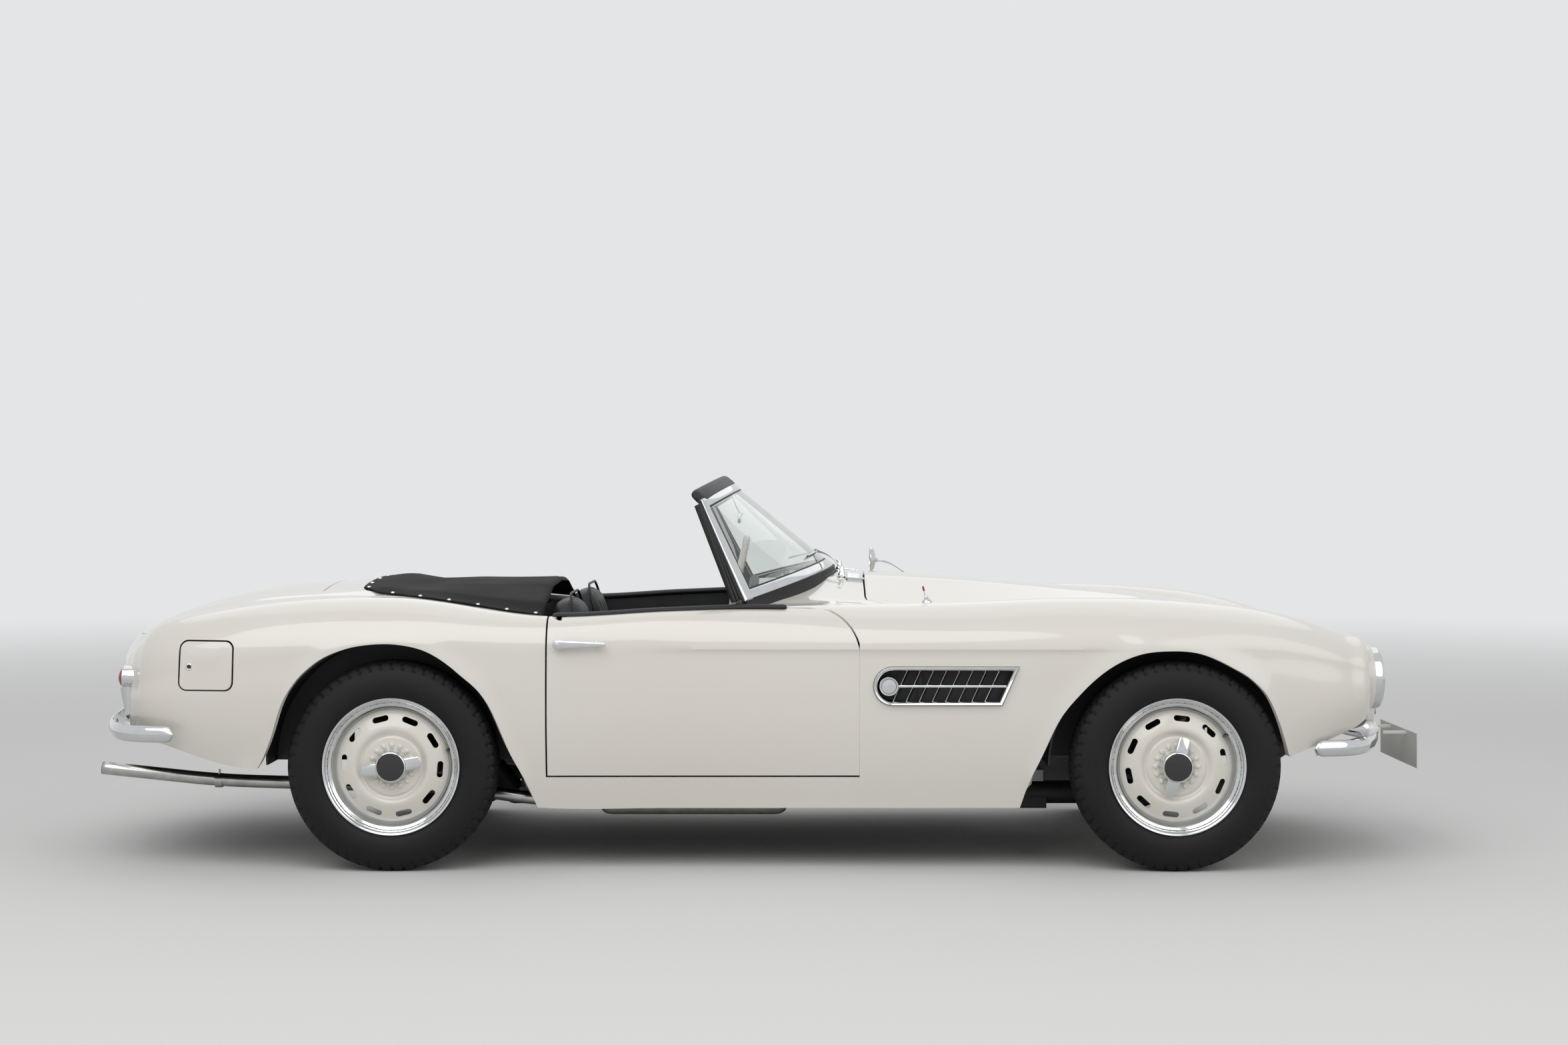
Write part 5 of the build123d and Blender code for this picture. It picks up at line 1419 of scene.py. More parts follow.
# Mirrors: silvered glass in chromed shells. One hangs under the header, and one stands on a slim arm
# on the left wing.
y = np.concatenate([np.linspace(-85, -70, 8)[:-1], np.linspace(-70, 70, 15), np.linspace(70, 85, 8)[1:]])
ends = np.sqrt(np.clip(1 - (1 - np.clip((85 - np.abs(y)) / 15, 0, 1)) ** 2, 0.02, 1))
path = np.stack([np.full(len(y), -74.0), y, np.full(len(y), 1111.0)], axis=1)
mirror_parts = [swept(path, oval(8, 21, 28, 3.0), scale=np.stack([ends, ends], axis=1))]
mirror_parts.append(swept(rounded_path([(-104, 0, 1216), (-92, 0, 1168), (-70, 0, 1122)], 30, 6),
                          oval(5, 5), up=(0, 1, 0)))
mirror_parts.append(turned([(0, 9), (6, 7), (9, 2), (9, -2), (6, -7), (0, -9)], (-70, 0, 1124), (0, 1, 0),
                           24))
WING_MIRROR = (405, 550, 948)
shell = [(0, 12), (20, 10.5), (35, 6), (45, -1), (48, -8), (47, -10), (44, -9.5), (43, -7), (0, -6.5)]
mirror_parts.append(turned(shell, WING_MIRROR, (1, 0, 0), 56))
arm = [(416, 550, 944), (470, 550.5, 938), (540, 551.5, 890), (604, 552, 836)]
run = rounded_path(arm, 60, 7)
mirror_parts.append(swept(run, oval(7, 5), scale=np.linspace(0.75, 1.25, len(run))))
mirror_parts.append(turned([(0, 8), (7, 7), (10, 2), (9, -4), (0, -8)], (418, 550, 945), (1, 0, 0.2), 28))
mirrors = mesh_object("mirror_heads", *joined(mirror_parts), chrome_plate, sharp=40)
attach(mirrors, "chassis")
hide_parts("mirrors")

# Cowl fittings: chromed wiper arms and washer jets, a ribbed vent on each side and the stub of the
# aerial, each screwed down through the cowl or the right wing.


def top_height(x, y):
    """Height of the skin's upper side at a station and a width."""
    x, y = np.array([float(x)]), np.array([abs(float(y))])
    return float(skin(x, place_at_width(x, y, 0.0, 4.0))[1][0])


fittings, blades = [], []
for pivot_y, tip_u in ((-240, -0.13), (140, 0.34)):
    z = top_height(275, pivot_y)
    fittings.append(turned([(0, 34), (7, 33), (9, 28), (9, 16), (12, 12), (13, 4), (17, 1), (17, -6)],
                           (275, pivot_y, z), (0, 0, 1), 32))
    tip = pane(np.array(tip_u), np.array(0.17)) + pane_normal(np.array(tip_u), np.array(0.17)) * 16
    knee = (np.array([275, pivot_y, z + 28]) * 0.45 + tip * 0.55) + np.array([6, 0, 9])
    fittings.append(swept(rounded_path([(275, pivot_y, z + 28), knee, tip], 30, 8), oval(5, 2.6),
                          up=pane_normal(np.array(tip_u), np.array(0.1))))
    u = tip_u + np.linspace(-0.24, 0.24, 20)
    fittings.append(pane_band(u, 0.17, 5, 6, 2.5, 13))
    blades.append(pane_band(u, 0.17, 3, 9, 2.5, 7.5))
for side in (-1, 1):
    z = top_height(269, 325)
    fittings.append(turned([(0, 17), (4, 16.5), (6, 14), (5, 11), (3.5, 9), (4, 4), (8, 2), (9, -4)],
                           (269, side * 325, z), (0, 0, 1), 24))
    fittings.append(swept([(269, side * 325, z + 14), (258, side * 325, z + 17)], oval(2, 2, 12)))
    for k in range(5):
        y = side * (232 + 9 * k)
        start, end = np.array([290, y, top_height(290, y) + 5]), np.array([346, y, top_height(346, y) + 4])
        line = start + (end - start) * np.linspace(0, 1, 12)[:, None]
        fittings.append(swept(line, oval(3.6, 8), scale=rounded_ends(12, 56, 8)))
    y = side * 250
    bed = [(287, y, top_height(287, y) + 1), (349, y, top_height(349, y) + 1)]
    fittings.append(swept(bed, oval(25, 3.5, 24, 5)))
AERIAL = (543, -570)
z = top_height(*AERIAL)
fittings.append(turned([(0, 24), (4, 24), (6, 19), (8, 17), (8, 14), (12, 10), (16, 4), (17, 1), (17, -4)],
                       (*AERIAL, z), (-0.1, 0, 1), 32))
fittings.append(turned([(2, 20), (2, 40), (0, 40)], (*AERIAL, z), (-0.25, 0, 1), 12))
cowl_fittings = mesh_object("cowl_fittings", *joined(fittings), chrome_plate, sharp=40)
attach(cowl_fittings, "chassis")
wiper_rubber = mesh_object("wiper_rubbers", *joined(blades), black_rubber)
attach(wiper_rubber, "chassis")
tip = turned([(0, 56), (2.5, 55), (3.6, 50), (3.4, 44), (2.4, 39), (0, 38)], (*AERIAL, z), (-0.25, 0, 1), 20)
aerial_tip = mesh_object("aerial_tip", *tip, red_lens)
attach(aerial_tip, "chassis")

# Dashboard: a painted steel panel screwed under the cowl, with two large dials in front of the driver,
# three small ones and chromed pull knobs.
DASH_AXIS = (-0.994, 0, -0.11)
dash_paint, tree, shader = new_material("dash_paint", Roughness=0.35, Coat_Weight=0.7, Coat_Roughness=0.06)
mottle(tree, shader, ("#D5D0C6", "#D8D4CB"), 500, (0.3, 0.4))
for node in ("dashboard", "steering_column"):
    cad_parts[node].data.materials.clear()
    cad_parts[node].data.materials.append(dash_paint)


def dash_spot(y, z):
    return (-5 - 20 * (z - 760) / 180, y, z)


dials = [(296, 812, 50), (424, 812, 50), (90, 815, 32), (0, 815, 32), (-90, 815, 32)]
bezels, faces_, ticks = [], [], []
for y, z, r in dials:
    spot = dash_spot(y, z)
    bezels.append(turned([(r + 4, -6), (r + 4, 4), (r + 2, 8), (r - 2, 8.5), (r - 4, 6), (r - 4, 2)], spot,
                         DASH_AXIS, 56))
    bezels.append(turned([(0, 7), (3, 6.5), (4, 4), (4, 2)], spot, DASH_AXIS, 20))
    faces_.append(turned([(r - 3, 3), (0, 3)], spot, DASH_AXIS, 56))
    tick = [(r - 14, -0.9), (r - 6, -0.9), (r - 6, 0.9), (r - 14, 0.9)]
    mark = mesh_object("tick", *prism(tick, 0, 0.5, 2), white_enamel)
    ring = copies("ticks", "ring", mark, white_enamel, Count=24, Radius=0.0005)
    pointer = [(-8, -1.2), (r - 16, -0.5), (r - 16, 0.5), (-8, 1.2)]
    hand = mesh_object("hand", *prism(pointer, 0.8, 1.4, 2), white_enamel)
    hand.data.transform(Matrix.Rotation(math.radians(215), 4, "Z"))
    turn = Vector(DASH_AXIS).to_track_quat("Z", "Y").to_matrix().to_4x4()
    on_face = Matrix.Translation(Vector(spot) / 1000) @ turn @ Matrix.Translation((0, 0, 0.0033))
    for piece in (ring, hand):
        piece.data.transform(on_face)
    ticks += [ring, hand]
for k in range(6):
    spot = dash_spot(-225 - 40 * k if k > 2 else 190 - 24 * k, 772)
    bezels.append(turned([(0, 22), (6, 21), (9, 17), (8, 12), (4, 9), (4, 3), (8, 2), (9, -3)], spot,
                         DASH_AXIS, 28))
dial_rims = mesh_object("dial_rims", *joined(bezels), chrome_plate, sharp=40)
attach(dial_rims, "chassis")
dial_black, tree, shader = new_material("dial_black", Roughness=0.4)
mottle(tree, shader, ("#0D0E10", "#141518"), 8, (0.35, 0.5))
dial_faces = mesh_object("dial_faces", *joined(faces_), dial_black)
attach(dial_faces, "chassis")
dial_marks = merged("dial_marks", ticks)
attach(dial_marks, "chassis")
pad_y = np.linspace(-610, 610, 70)
pad_path = np.stack([np.full(70, -22.0), pad_y, [top_height(-22, w) - 26 for w in pad_y]], axis=1)
dash_roll = mesh_object("dash_roll", *swept(pad_path, oval(17, 15)), black_leather)
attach(dash_roll, "chassis")

# Steering wheel: a thin ivory plastic rim with finger grips, moulded on steel, with three flat chromed
# spokes and a plain boss on the column.
STEERING = (-95, 360, 832)
STEERING_RADIUS = 205
ivory_plastic, tree, shader = new_material("ivory_plastic", Roughness=0.28, Coat_Weight=0.3,
        Subsurface_Weight=0.05)
mottle(tree, shader, ("#D3CDBE", "#DCD7CA"), 70, (0.22, 0.34))
steering_turn = Matrix.Translation(Vector(STEERING) / 1000) @ Matrix.Rotation(math.radians(102), 4, "Y")
phi, psi = np.meshgrid(2 * math.pi * np.arange(181) / 180, 2 * math.pi * np.arange(17) / 16, indexing="ij")
grip = 12 + 1.6 * np.clip(np.sin(psi), 0, 1) * np.cos(45 * phi)
reach = STEERING_RADIUS + grip * np.cos(psi)
rim_points = np.stack([reach * np.cos(phi), reach * np.sin(phi), grip * np.sin(psi)], axis=-1)
rim = mesh_object("wheel_rim", rim_points.reshape(-1, 3) / 1000, grid_faces(181, 17), ivory_plastic)
boss = turned([(44, 32), (46, 10), (44, -6), (38, -13), (30, -16), (27, -17)], (0, 0, 0), (0, 0, 1), 48)
boss = mesh_object("wheel_boss", *boss, ivory_plastic)
bright = [turned([(27, -15), (27, -18), (24, -20), (0, -23)], (0, 0, 0), (0, 0, 1), 48)]
for angle in (60, 180, 300):
    spoke_path = np.array([(radius, 0, 2 - 8 * math.cos(math.pi / 2 * (radius - 30) / 175))
                           for radius in np.linspace(30, 203, 14)])
    c, s = math.cos(math.radians(angle)), math.sin(math.radians(angle))
    spoke_path = np.stack([spoke_path[:, 0] * c, spoke_path[:, 0] * s, spoke_path[:, 2]], axis=1)
    taper = np.stack([np.linspace(1, 0.7, 14), np.ones(14)], axis=1)
    bright.append(swept(spoke_path, oval(14, 3.5, 24, 3), scale=taper))
spokes = mesh_object("wheel_spokes", *joined(bright), chrome_plate)
for piece in (rim, boss, spokes):
    piece.data.transform(steering_turn)
steering = merged("steering_wheel_rim", [rim, boss])
for piece in (steering, spokes):
    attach(piece, "steering_wheel")
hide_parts("steering_wheel")

# Floor mats and tunnel cover: short black carpet, cut to shape and pressed on to the floor and
# the tunnel.
black_carpet, tree, shader = new_material("black_carpet", Roughness=0.95, Sheen_Weight=0.3)
mottle(tree, shader, ("#0E0E0F", "#1B1B1D"), 4, (0.85, 1.0), 2.0, 6.0)
carpets = []
for side in (-1, 1):
    x, y = np.meshgrid(np.linspace(-745, 495, 50), np.linspace(158, 606, 20))
    z = 252 + 1.5 * np.sin(x / 90) * np.cos(y / 70)
    carpets.append((np.stack([x, side * y, z], axis=-1).reshape(-1, 3) / 1000, grid_faces(20, 50)))
arc = np.linspace(0, math.pi, 25)
section = [(152.5, 252)] + [(152.5 * math.cos(a), 310 + 152.5 * math.sin(a)) for a in arc] + [(-152.5, 252)]
rows = np.array([[(x, y, z) for y, z in section] for x in np.linspace(-755, 500, 30)])
carpets.append((rows.reshape(-1, 3) / 1000, grid_faces(30, len(section))))
carpet = mesh_object("cabin_carpet", *joined(carpets), black_carpet)
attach(carpet, "chassis")

# Seats: two black leather seats stuffed with hair, each a squab and a back with sewn flutes and piped
# edges, on a steel pan that is bolted to the floor.
SEAT_Y = 385


def stuffed(name, low, high, power, crown, cap_mm):
    """A crowned leather pad between two corners, swollen by a cloth simulation that is capped in reach."""
    shape = bmesh.new()
    bmesh.ops.create_cube(shape, size=2.0)
    bmesh.ops.subdivide_edges(shape, edges=shape.edges[:], cuts=24, use_grid_fill=True)
    low, high = np.array(low, float), np.array(high, float)
    for vertex in shape.verts:
        v = np.array(vertex.co)
        v = v / np.sum(np.abs(v) ** power) ** (1 / power)
        lift = crown * (1 - v[0] ** 2) * (1 - v[1] ** 2) * max(0.0, v[2])
        vertex.co = Vector(((low + high) / 2 + v * (high - low) / 2 + np.array([0, 0, lift])) / 1000)
    mesh = bpy.data.meshes.new(name)
    shape.to_mesh(mesh)
    shape.free()
    mesh.materials.append(black_leather)
    piece = bpy.data.objects.new(name, mesh)
    bpy.context.scene.collection.objects.link(piece)
    remesh = piece.modifiers.new("even", "REMESH")
    remesh.mode = "VOXEL"
    remesh.voxel_size = 0.0065
    finish_mesh(piece)
    rest = np.array([v.co for v in piece.data.vertices])
    cloth = piece.modifiers.new("swell", "CLOTH")
    cloth.settings.quality = 5
    cloth.settings.use_pressure = True
    cloth.settings.uniform_pressure_force = 4.0
    cloth.settings.effector_weights.gravity = 0.0
    cloth.point_cache.frame_start, cloth.point_cache.frame_end = 1, 20
    for number in range(1, 21):
        bpy.context.scene.frame_set(number)
    finish_mesh(piece)
    bpy.context.scene.frame_set(1)
    swollen = np.array([v.co for v in piece.data.vertices])
    move = swollen - rest
    far = np.linalg.norm(move, axis=1)[:, None]
    move *= np.minimum(1, cap_mm / 1000 / np.maximum(far, 1e-9))
    piece.data.vertices.foreach_set("co", (rest + move).ravel())
    piece.data.polygons.foreach_set("use_smooth", [True] * len(piece.data.polygons))
    piece.data.update()
    return piece


def flute(piece, axis, lines, along, span, depth):
    """Presses sewn channels into the upper side of a pad: across one axis, within a span of the other."""
    coords = np.array([v.co for v in piece.data.vertices]) * 1000
    normals = np.array([v.normal for v in piece.data.vertices])
    inside = smooth(coords[:, along], span[0], span[0] + 25)
    inside = inside * (1 - smooth(coords[:, along], span[1] - 25, span[1]))
    dip = np.zeros(len(coords))
    for line in lines:
        dip = np.maximum(dip, np.exp(-((coords[:, axis] - line) / 6.5) ** 2))
    coords[:, 2] -= depth * dip * inside * np.clip(normals[:, 2], 0, 1)
    piece.data.vertices.foreach_set("co", (coords / 1000).ravel())
    piece.data.update()


def piping(loop, name):
    return mesh_object(name, *swept(loop, oval(4.5, 4.5, 12), up=(0, 0, 1), closed=True), black_leather)


squab = stuffed("squab", (-555, -200, 312), (-72, 200, 412), 5, 10, 14)
flute(squab, 1, (-120, -60, 0, 60, 120), 0, (-500, -130), 9)
edge = [(x, y, 404) for x, y in rounded_outline((-548, -205), (-66, 205), 70, 8)]
squab = merged("squab", [squab, piping(edge, "squab_piping")])
back = stuffed("back", (-240, -196, -40), (230, 196, 40), 5, 8, 14)
flute(back, 1, (-120, -60, 0, 60, 120), 0, (-190, 170), 9)
edge = [(x, y, 33) for x, y in rounded_outline((-236, -203), (232, 203), 85, 8)]
back = merged("back", [back, piping(edge, "back_piping")])
lean = Matrix.Translation((-0.588, 0, 0.636)) @ Matrix.Rotation(math.radians(-104.5), 4, "Y")
lean = lean @ Matrix.Rotation(math.pi, 4, "X")
back.data.transform(lean)
for letter, side in (("r", -1), ("l", 1)):
    for kind, model in (("squab", squab), ("back", back)):
        pad = bpy.data.objects.new("seat_" + kind + "_" + letter, model.data.copy())
        bpy.context.scene.collection.objects.link(pad)
        pad.data.transform(Matrix.Translation((0, side * SEAT_Y / 1000, 0)))
        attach(pad, "chassis")
        if kind == "squab":
            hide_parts("seat_" + letter)
    base_parts = []
    for y in (side * SEAT_Y - 150, side * SEAT_Y + 150):
        base_parts.append(swept([(-560, y, 262), (-110, y, 262)], oval(18, 9, 24, 5)))
        for x in (-520, -150):
            base_parts.append(swept([(x, y, 265), (x, y, 335)], oval(12, 5, 20, 4), up=(1, 0, 0)))
    base_parts.append(swept([(-545, side * SEAT_Y, 322), (-85, side * SEAT_Y, 322)], oval(180, 10, 28, 8)))
    base = mesh_object("seat_base_" + letter, *joined(base_parts), chassis_paint)
    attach(base, "chassis")
for model in (squab, back):
    bpy.data.objects.remove(model)

# Cover over the folded top: black proofed cloth with a hem, stretched over the rear of the cockpit and
# held by chromed snap buttons.
COVER_EDGE = [(-1306, 396), (-1262, 506), (-1160, 576), (-900, 636), (-692, 680)]
cover_cloth, tree, shader = new_material("cover_cloth", Roughness=0.8, Specular_IOR_Level=0.2)
mottle(tree, shader, ("#0D0D0F", "#18181A"), 120, (0.62, 0.85))
place = add_node(tree, "ShaderNodeTexCoord")
weave = []
for direction in ("X", "Y"):
    weave.append(add_node(tree, "ShaderNodeTexWave", {"Vector": place.outputs["Object"]}, Scale=260.0,
                          Distortion=0.4, bands_direction=direction))
threads = add_node(tree, "ShaderNodeMath", {0: weave[0].outputs["Fac"], 1: weave[1].outputs["Fac"]},
                   operation="ADD")
bump = add_node(tree, "ShaderNodeBump", {"Height": threads.outputs["Value"]}, Strength=0.35, Distance=0.0003)
tree.links.new(bump.outputs["Normal"], shader.inputs["Normal"])
stations = np.linspace(-1306, -692, 60)
half = through([p[0] for p in COVER_EDGE], [p[1] for p in COVER_EDGE], stations)
shares = np.linspace(-1, 1, 81)
x = np.repeat(stations[:, None], 81, 1)
y = half[:, None] * shares[None, :]
z = skin(x, place_at_width(x, np.abs(y), 0.0, 4.0))[1]
edge_near = np.clip((1 - np.abs(shares)) / 0.12, 0, 1)[None, :]
edge_near = edge_near * np.clip((stations + 1306) / 90, 0, 1)[:, None]
sag = 9 * edge_near * (1 - shares[None, :] ** 2) * np.sin(math.pi * np.clip((x + 1306) / 614, 0, 1))
ripple = 1.6 * edge_near * np.sin(y / 47 + 1.3 * np.sin(x / 120)) * smooth(x, -1000, -700)
hem = -14 * np.clip((x + 712) / 20, 0, 1) ** 2
dip = 16 * np.exp(-((x + 1120) / 75) ** 2) * np.exp(-((np.abs(y) - 250) / 190) ** 2)
z = z + 4 + 10 * edge_near * np.exp(-((x + 1240) / 60) ** 2) - sag - dip * edge_near + ripple + hem
cover_points = np.stack([x, y, z], axis=-1).reshape(-1, 3) / 1000
cover = mesh_object("cockpit_cover", cover_points, grid_faces(60, 81), cover_cloth)
wall_maker = cover.modifiers.new("wall", "SOLIDIFY")
wall_maker.thickness = 0.0025
wall_maker.offset = 0
finish_mesh(cover)
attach(cover, "chassis")
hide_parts("tonneau_cover")

spots = []
for side in (-1, 1):
    for station in np.linspace(-715, -1285, 7):
        w = float(through([p[0] for p in COVER_EDGE], [p[1] for p in COVER_EDGE],
                          np.array([station]))[0]) - 13
        spots.append((station, side * w, top_height(station, w) + 5.5))
for w in np.linspace(-330, 330, 5):
    spots.append((-1292, w, top_height(-1292, w) + 6))
button = turned([(0, 4), (3, 3.8), (5.5, 2.6), (6.8, 0.8), (7, -1)], (0, 0, 0), (0, 0, 1), 20)
button = mesh_object("button", *button, chrome_plate)
buttons = copies("cover_buttons", "spots", button, chrome_plate, spots=spots)
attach(buttons, "chassis")

# Exhaust: one bent pipe of polished steel on each side, with a round silencer welded in. It hangs from
# the frame by straps and clamps.
PIPE = [(780, 285, 480), (560, 480, 190), (-700, 480, 190), (-1000, 480, 232), (-1760, 480, 255),
        (-2150, 480, 296)]
PIPE_RADIUS = 21
SILENCER = (-520, 90)
polished_steel, tree, shader = new_material("polished_steel", Metallic=1.0)
mottle(tree, shader, ("#A9A8A5", "#C4C3C0"), 35, (0.12, 0.28), detail=6.0)
pipes, tubs = [], []
for side in (-1, 1):
    path = rounded_path([(x, side * y, z) for x, y, z in PIPE], 110, 14)
    pipes.append(swept(path, oval(PIPE_RADIUS, PIPE_RADIUS, 28), caps=False))
    length = SILENCER[1] - SILENCER[0]
    x = np.concatenate([np.linspace(0, 40, 9), np.linspace(40, length - 40, 12)[1:-1],
                        np.linspace(length - 40, length, 9)])
    near_end = np.clip(np.minimum(x, x[-1] - x) / 40, 0, 1)
    bulge = PIPE_RADIUS - 1 + 26 * np.sqrt(np.clip(1 - (1 - near_end) ** 2, 0, 1))
    run = np.stack([SILENCER[0] + x, np.full(len(x), side * 480.0), np.full(len(x), 190.0)], axis=1)
    tubs.append(swept(run, oval(1, 1, 36), scale=bulge))
    for clamp in (-1768, -1180, -530, 100):
        height = float(np.interp(clamp, [-1760, -1000, -700], [255, 232, 190]))
        band = [(clamp - 12, side * 480, height), (clamp + 12, side * 480, height)]
        tubs.append(swept(band, oval(23.5, 23.5, 32)))
        strap = [(clamp, side * 480, height + 20), (clamp, side * 480, height + 36)]
        tubs.append(swept(strap, oval(9, 3, 16, 4), up=(1, 0, 0)))
tail_pipe = mesh_object("exhaust_pipes", *joined(pipes), polished_steel)
wall_maker = tail_pipe.modifiers.new("wall", "SOLIDIFY")
wall_maker.thickness = 0.002
wall_maker.offset = -1
finish_mesh(tail_pipe)
silencers = mesh_object("exhaust_silencers", *joined(tubs), polished_steel)
for piece in (tail_pipe, silencers):
    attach(piece, "chassis")
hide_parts("exhaust")

# Wheels: pressed steel discs, painted, with ten slots and a ring of small bosses, in bright rims. Each is
# held by a chromed centre nut with two ears. Profiles run from the outside in, as radius and distance out
# from the middle of the wheel.
AXLE_Z = 333
WHEELS = [("front", "r", 1320, -722.5, 15, "wheel_front_right"),
          ("front", "l", 1320, 722.5, 15, "wheel_front_left"),
          ("rear", "r", -1160, -712.5, 80, "wheel_rear_right"),
          ("rear", "l", -1160, 712.5, 80, "wheel_rear_left")]
DISC = [(178, 28), (176.5, 32), (172, 37.5), (164, 43), (152, 48.5), (140, 53.5), (130, 57.4), (122, 59.6),
        (116, 59.6), (110, 56.6), (105, 52), (100, 48.6), (96, 48.2), (93.5, 50), (91, 52), (88, 52.4),
        (62, 52), (54, 53)]
RIM = [(177, 27), (181, 28), (186, 34), (188.5, 46), (190, 54), (194, 58), (199, 59), (201.5, 61),
       (203, 66), (207.5, 68.5), (209, 72), (213, 75.5), (216.5, 76), (218, 73), (217.5, 69)]
BARREL = [(187, 34), (186, 20), (193, -56), (203, -63), (206, -70), (213, -75), (216, -73)]
NUT = [(57, 50), (57, 54), (55.5, 62), (52, 66), (50.5, 74), (49.6, 80), (48.2, 84), (46, 86.6), (44, 87.2),
       (42.8, 86)]
CAP = [(43, 85.4), (41, 87.2), (30, 88.6), (0, 90)]
VALVE = [(178, 24), (181, 40), (185, 54)]
wheel_paint, tree, shader = new_material("wheel_paint", Roughness=0.34, Coat_Weight=0.8, Coat_Roughness=0.05)
mottle(tree, shader, ("#D6D1C7", "#D9D5CC"), 300, (0.28, 0.4))
cap_black, tree, shader = new_material("cap_black", Roughness=0.2, Coat_Weight=0.6)
mottle(tree, shader, ("#0B0B0D", "#131316"), 10, (0.15, 0.25))


def wheel_model(ear_angle, slot_turn):
    """One wheel about the Z axis, outside upwards, with its painted, bright and black pieces apart."""
    disc = mesh_object("disc", *turned(DISC, (0, 0, 0), (0, 0, 1), 160), wheel_paint)
    wall = disc.modifiers.new("wall", "SOLIDIFY")
    wall.thickness = 0.004
    wall.offset = -1 if disc.data.polygons[0].normal.z > 0 else 1
    slot_shape = []
    for end in (1, -1):
        for k in range(9):
            angle = math.pi * (k / 8 + (0 if end > 0 else 1))
            slot_shape.append((9 * math.cos(angle), end * 17 + 9 * math.sin(angle)))
    slot = mesh_object("slot", *prism(slot_shape, 20, 80, 2), wheel_paint, merge=0)
    slots = copies("slots", "ring", slot, wheel_paint, Count=10, Radius=0.152)
    slots.data.transform(Matrix.Rotation(math.radians(slot_turn), 4, "Z"))
    opener = disc.modifiers.new("slots", "BOOLEAN")
    opener.solver = "EXACT"
    opener.object = slots
    round_edges(disc, 1.8)
    finish_mesh(disc)
    bpy.data.objects.remove(slots)
    bump = turned([(9, 51), (8.6, 53), (7.5, 54.8), (5, 56.4), (0, 57.2)], (0, 0, 0), (0, 0, 1), 20)
    bump = mesh_object("bump", *bump, wheel_paint)
    bumps = copies("bumps", "ring", bump, wheel_paint, Count=16, Radius=0.067)
    # The barrel is in black chassis paint, partly its own colour and partly painted shade, so that the slots
    # show dark inside the wheel.
    barrel = mesh_object("barrel", *turned(BARREL, (0, 0, 0), (0, 0, 1), 96), chassis_paint)
    drum = [(0, 34), (60, 34), (118, 30), (132, 22), (135, 10), (135, -36), (128, -40), (0, -40)]
    drum = mesh_object("drum", *turned(drum, (0, 0, 0), (0, 0, 1), 72), cast_alloy)
    painted = merged("painted", [disc, bumps, barrel, drum])
    bright = [turned(RIM, (0, 0, 0), (0, 0, 1), 160), turned(NUT, (0, 0, 0), (0, 0, 1), 72)]
    for half_turn in (0, 180):
        angle = math.radians(90 - ear_angle + half_turn)
        c, s = math.cos(angle), math.sin(angle)
        reach = np.concatenate([np.linspace(30, 84, 10), np.linspace(86, 94, 7)])
        out = 78 - 9 * ((reach - 30) / 64) ** 1.6
        tip = np.clip((94.3 - reach) / 5, 0, 1)
        wide = (21 - 3 * (reach - 30) / 64) * np.sqrt(np.clip(1 - (1 - tip) ** 2, 0.02, 1))
        thick = 6.5 - 2 * (reach - 30) / 64
        path = np.stack([reach * c, reach * s, out], axis=1)
        bright.append(swept(path, oval(1, 1, 28, 2.8), scale=np.stack([wide, thick], axis=1)))
    bright = mesh_object("bright", *joined(bright), chrome_plate, sharp=38)
    valve_angle = math.radians(slot_turn + 20)
    stem = [(r * math.cos(valve_angle), r * math.sin(valve_angle), out) for r, out in VALVE]
    valve = swept(stem, oval(4.2, 4.2, 16), up=(0, 1, 0))
    cap = mesh_object("cap", *joined([turned(CAP, (0, 0, 0), (0, 0, 1), 56), valve]), cap_black)
    return painted, bright, cap


models = {axle: wheel_model(angle, turn) for axle, angle, turn in (("front", 15, 11.4), ("rear", 80, -4))}
for axle, letter, x, y, angle, body in WHEELS:
    outward = -1 if letter == "r" else 1
    turn = Matrix(((1, 0, 0, x / 1000), (0, 0, outward, y / 1000), (0, 1, 0, AXLE_Z / 1000), (0, 0, 0, 1)))
    finishes = [("disc", "wheel_steel"), ("bright", "chrome"), ("cap", "frame_black")]
    for model, (kind, slot_name) in zip(models[axle], finishes):
        piece = bpy.data.objects.new("wheel_" + axle + "_" + letter + "_" + kind, model.data.copy())
        bpy.context.scene.collection.objects.link(piece)
        piece.data.transform(turn)
        if turn.determinant() < 0:
            piece.data.flip_normals()
        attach(piece, body)
        if kind == "disc":
            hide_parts("wheel_" + axle + "_" + letter)
for pieces in models.values():
    for model in pieces:
        bpy.data.objects.remove(model)

# Tyres: tall crossply tyres moulded in black rubber, with zigzag grooves, notched shoulders and plain
# side walls with a few raised rings.
TYRE = [(0, 333), (22, 332.7), (38, 331.8), (48, 329.6), (56, 325.5), (62, 319.5), (69, 309), (75, 297),
        (80, 283), (82.5, 269), (83, 256), (81.5, 244), (78, 233), (73, 223), (68, 215), (66, 208)]
TYRE_LUGS = 56
TYRE_STEPS = TYRE_LUGS * 8
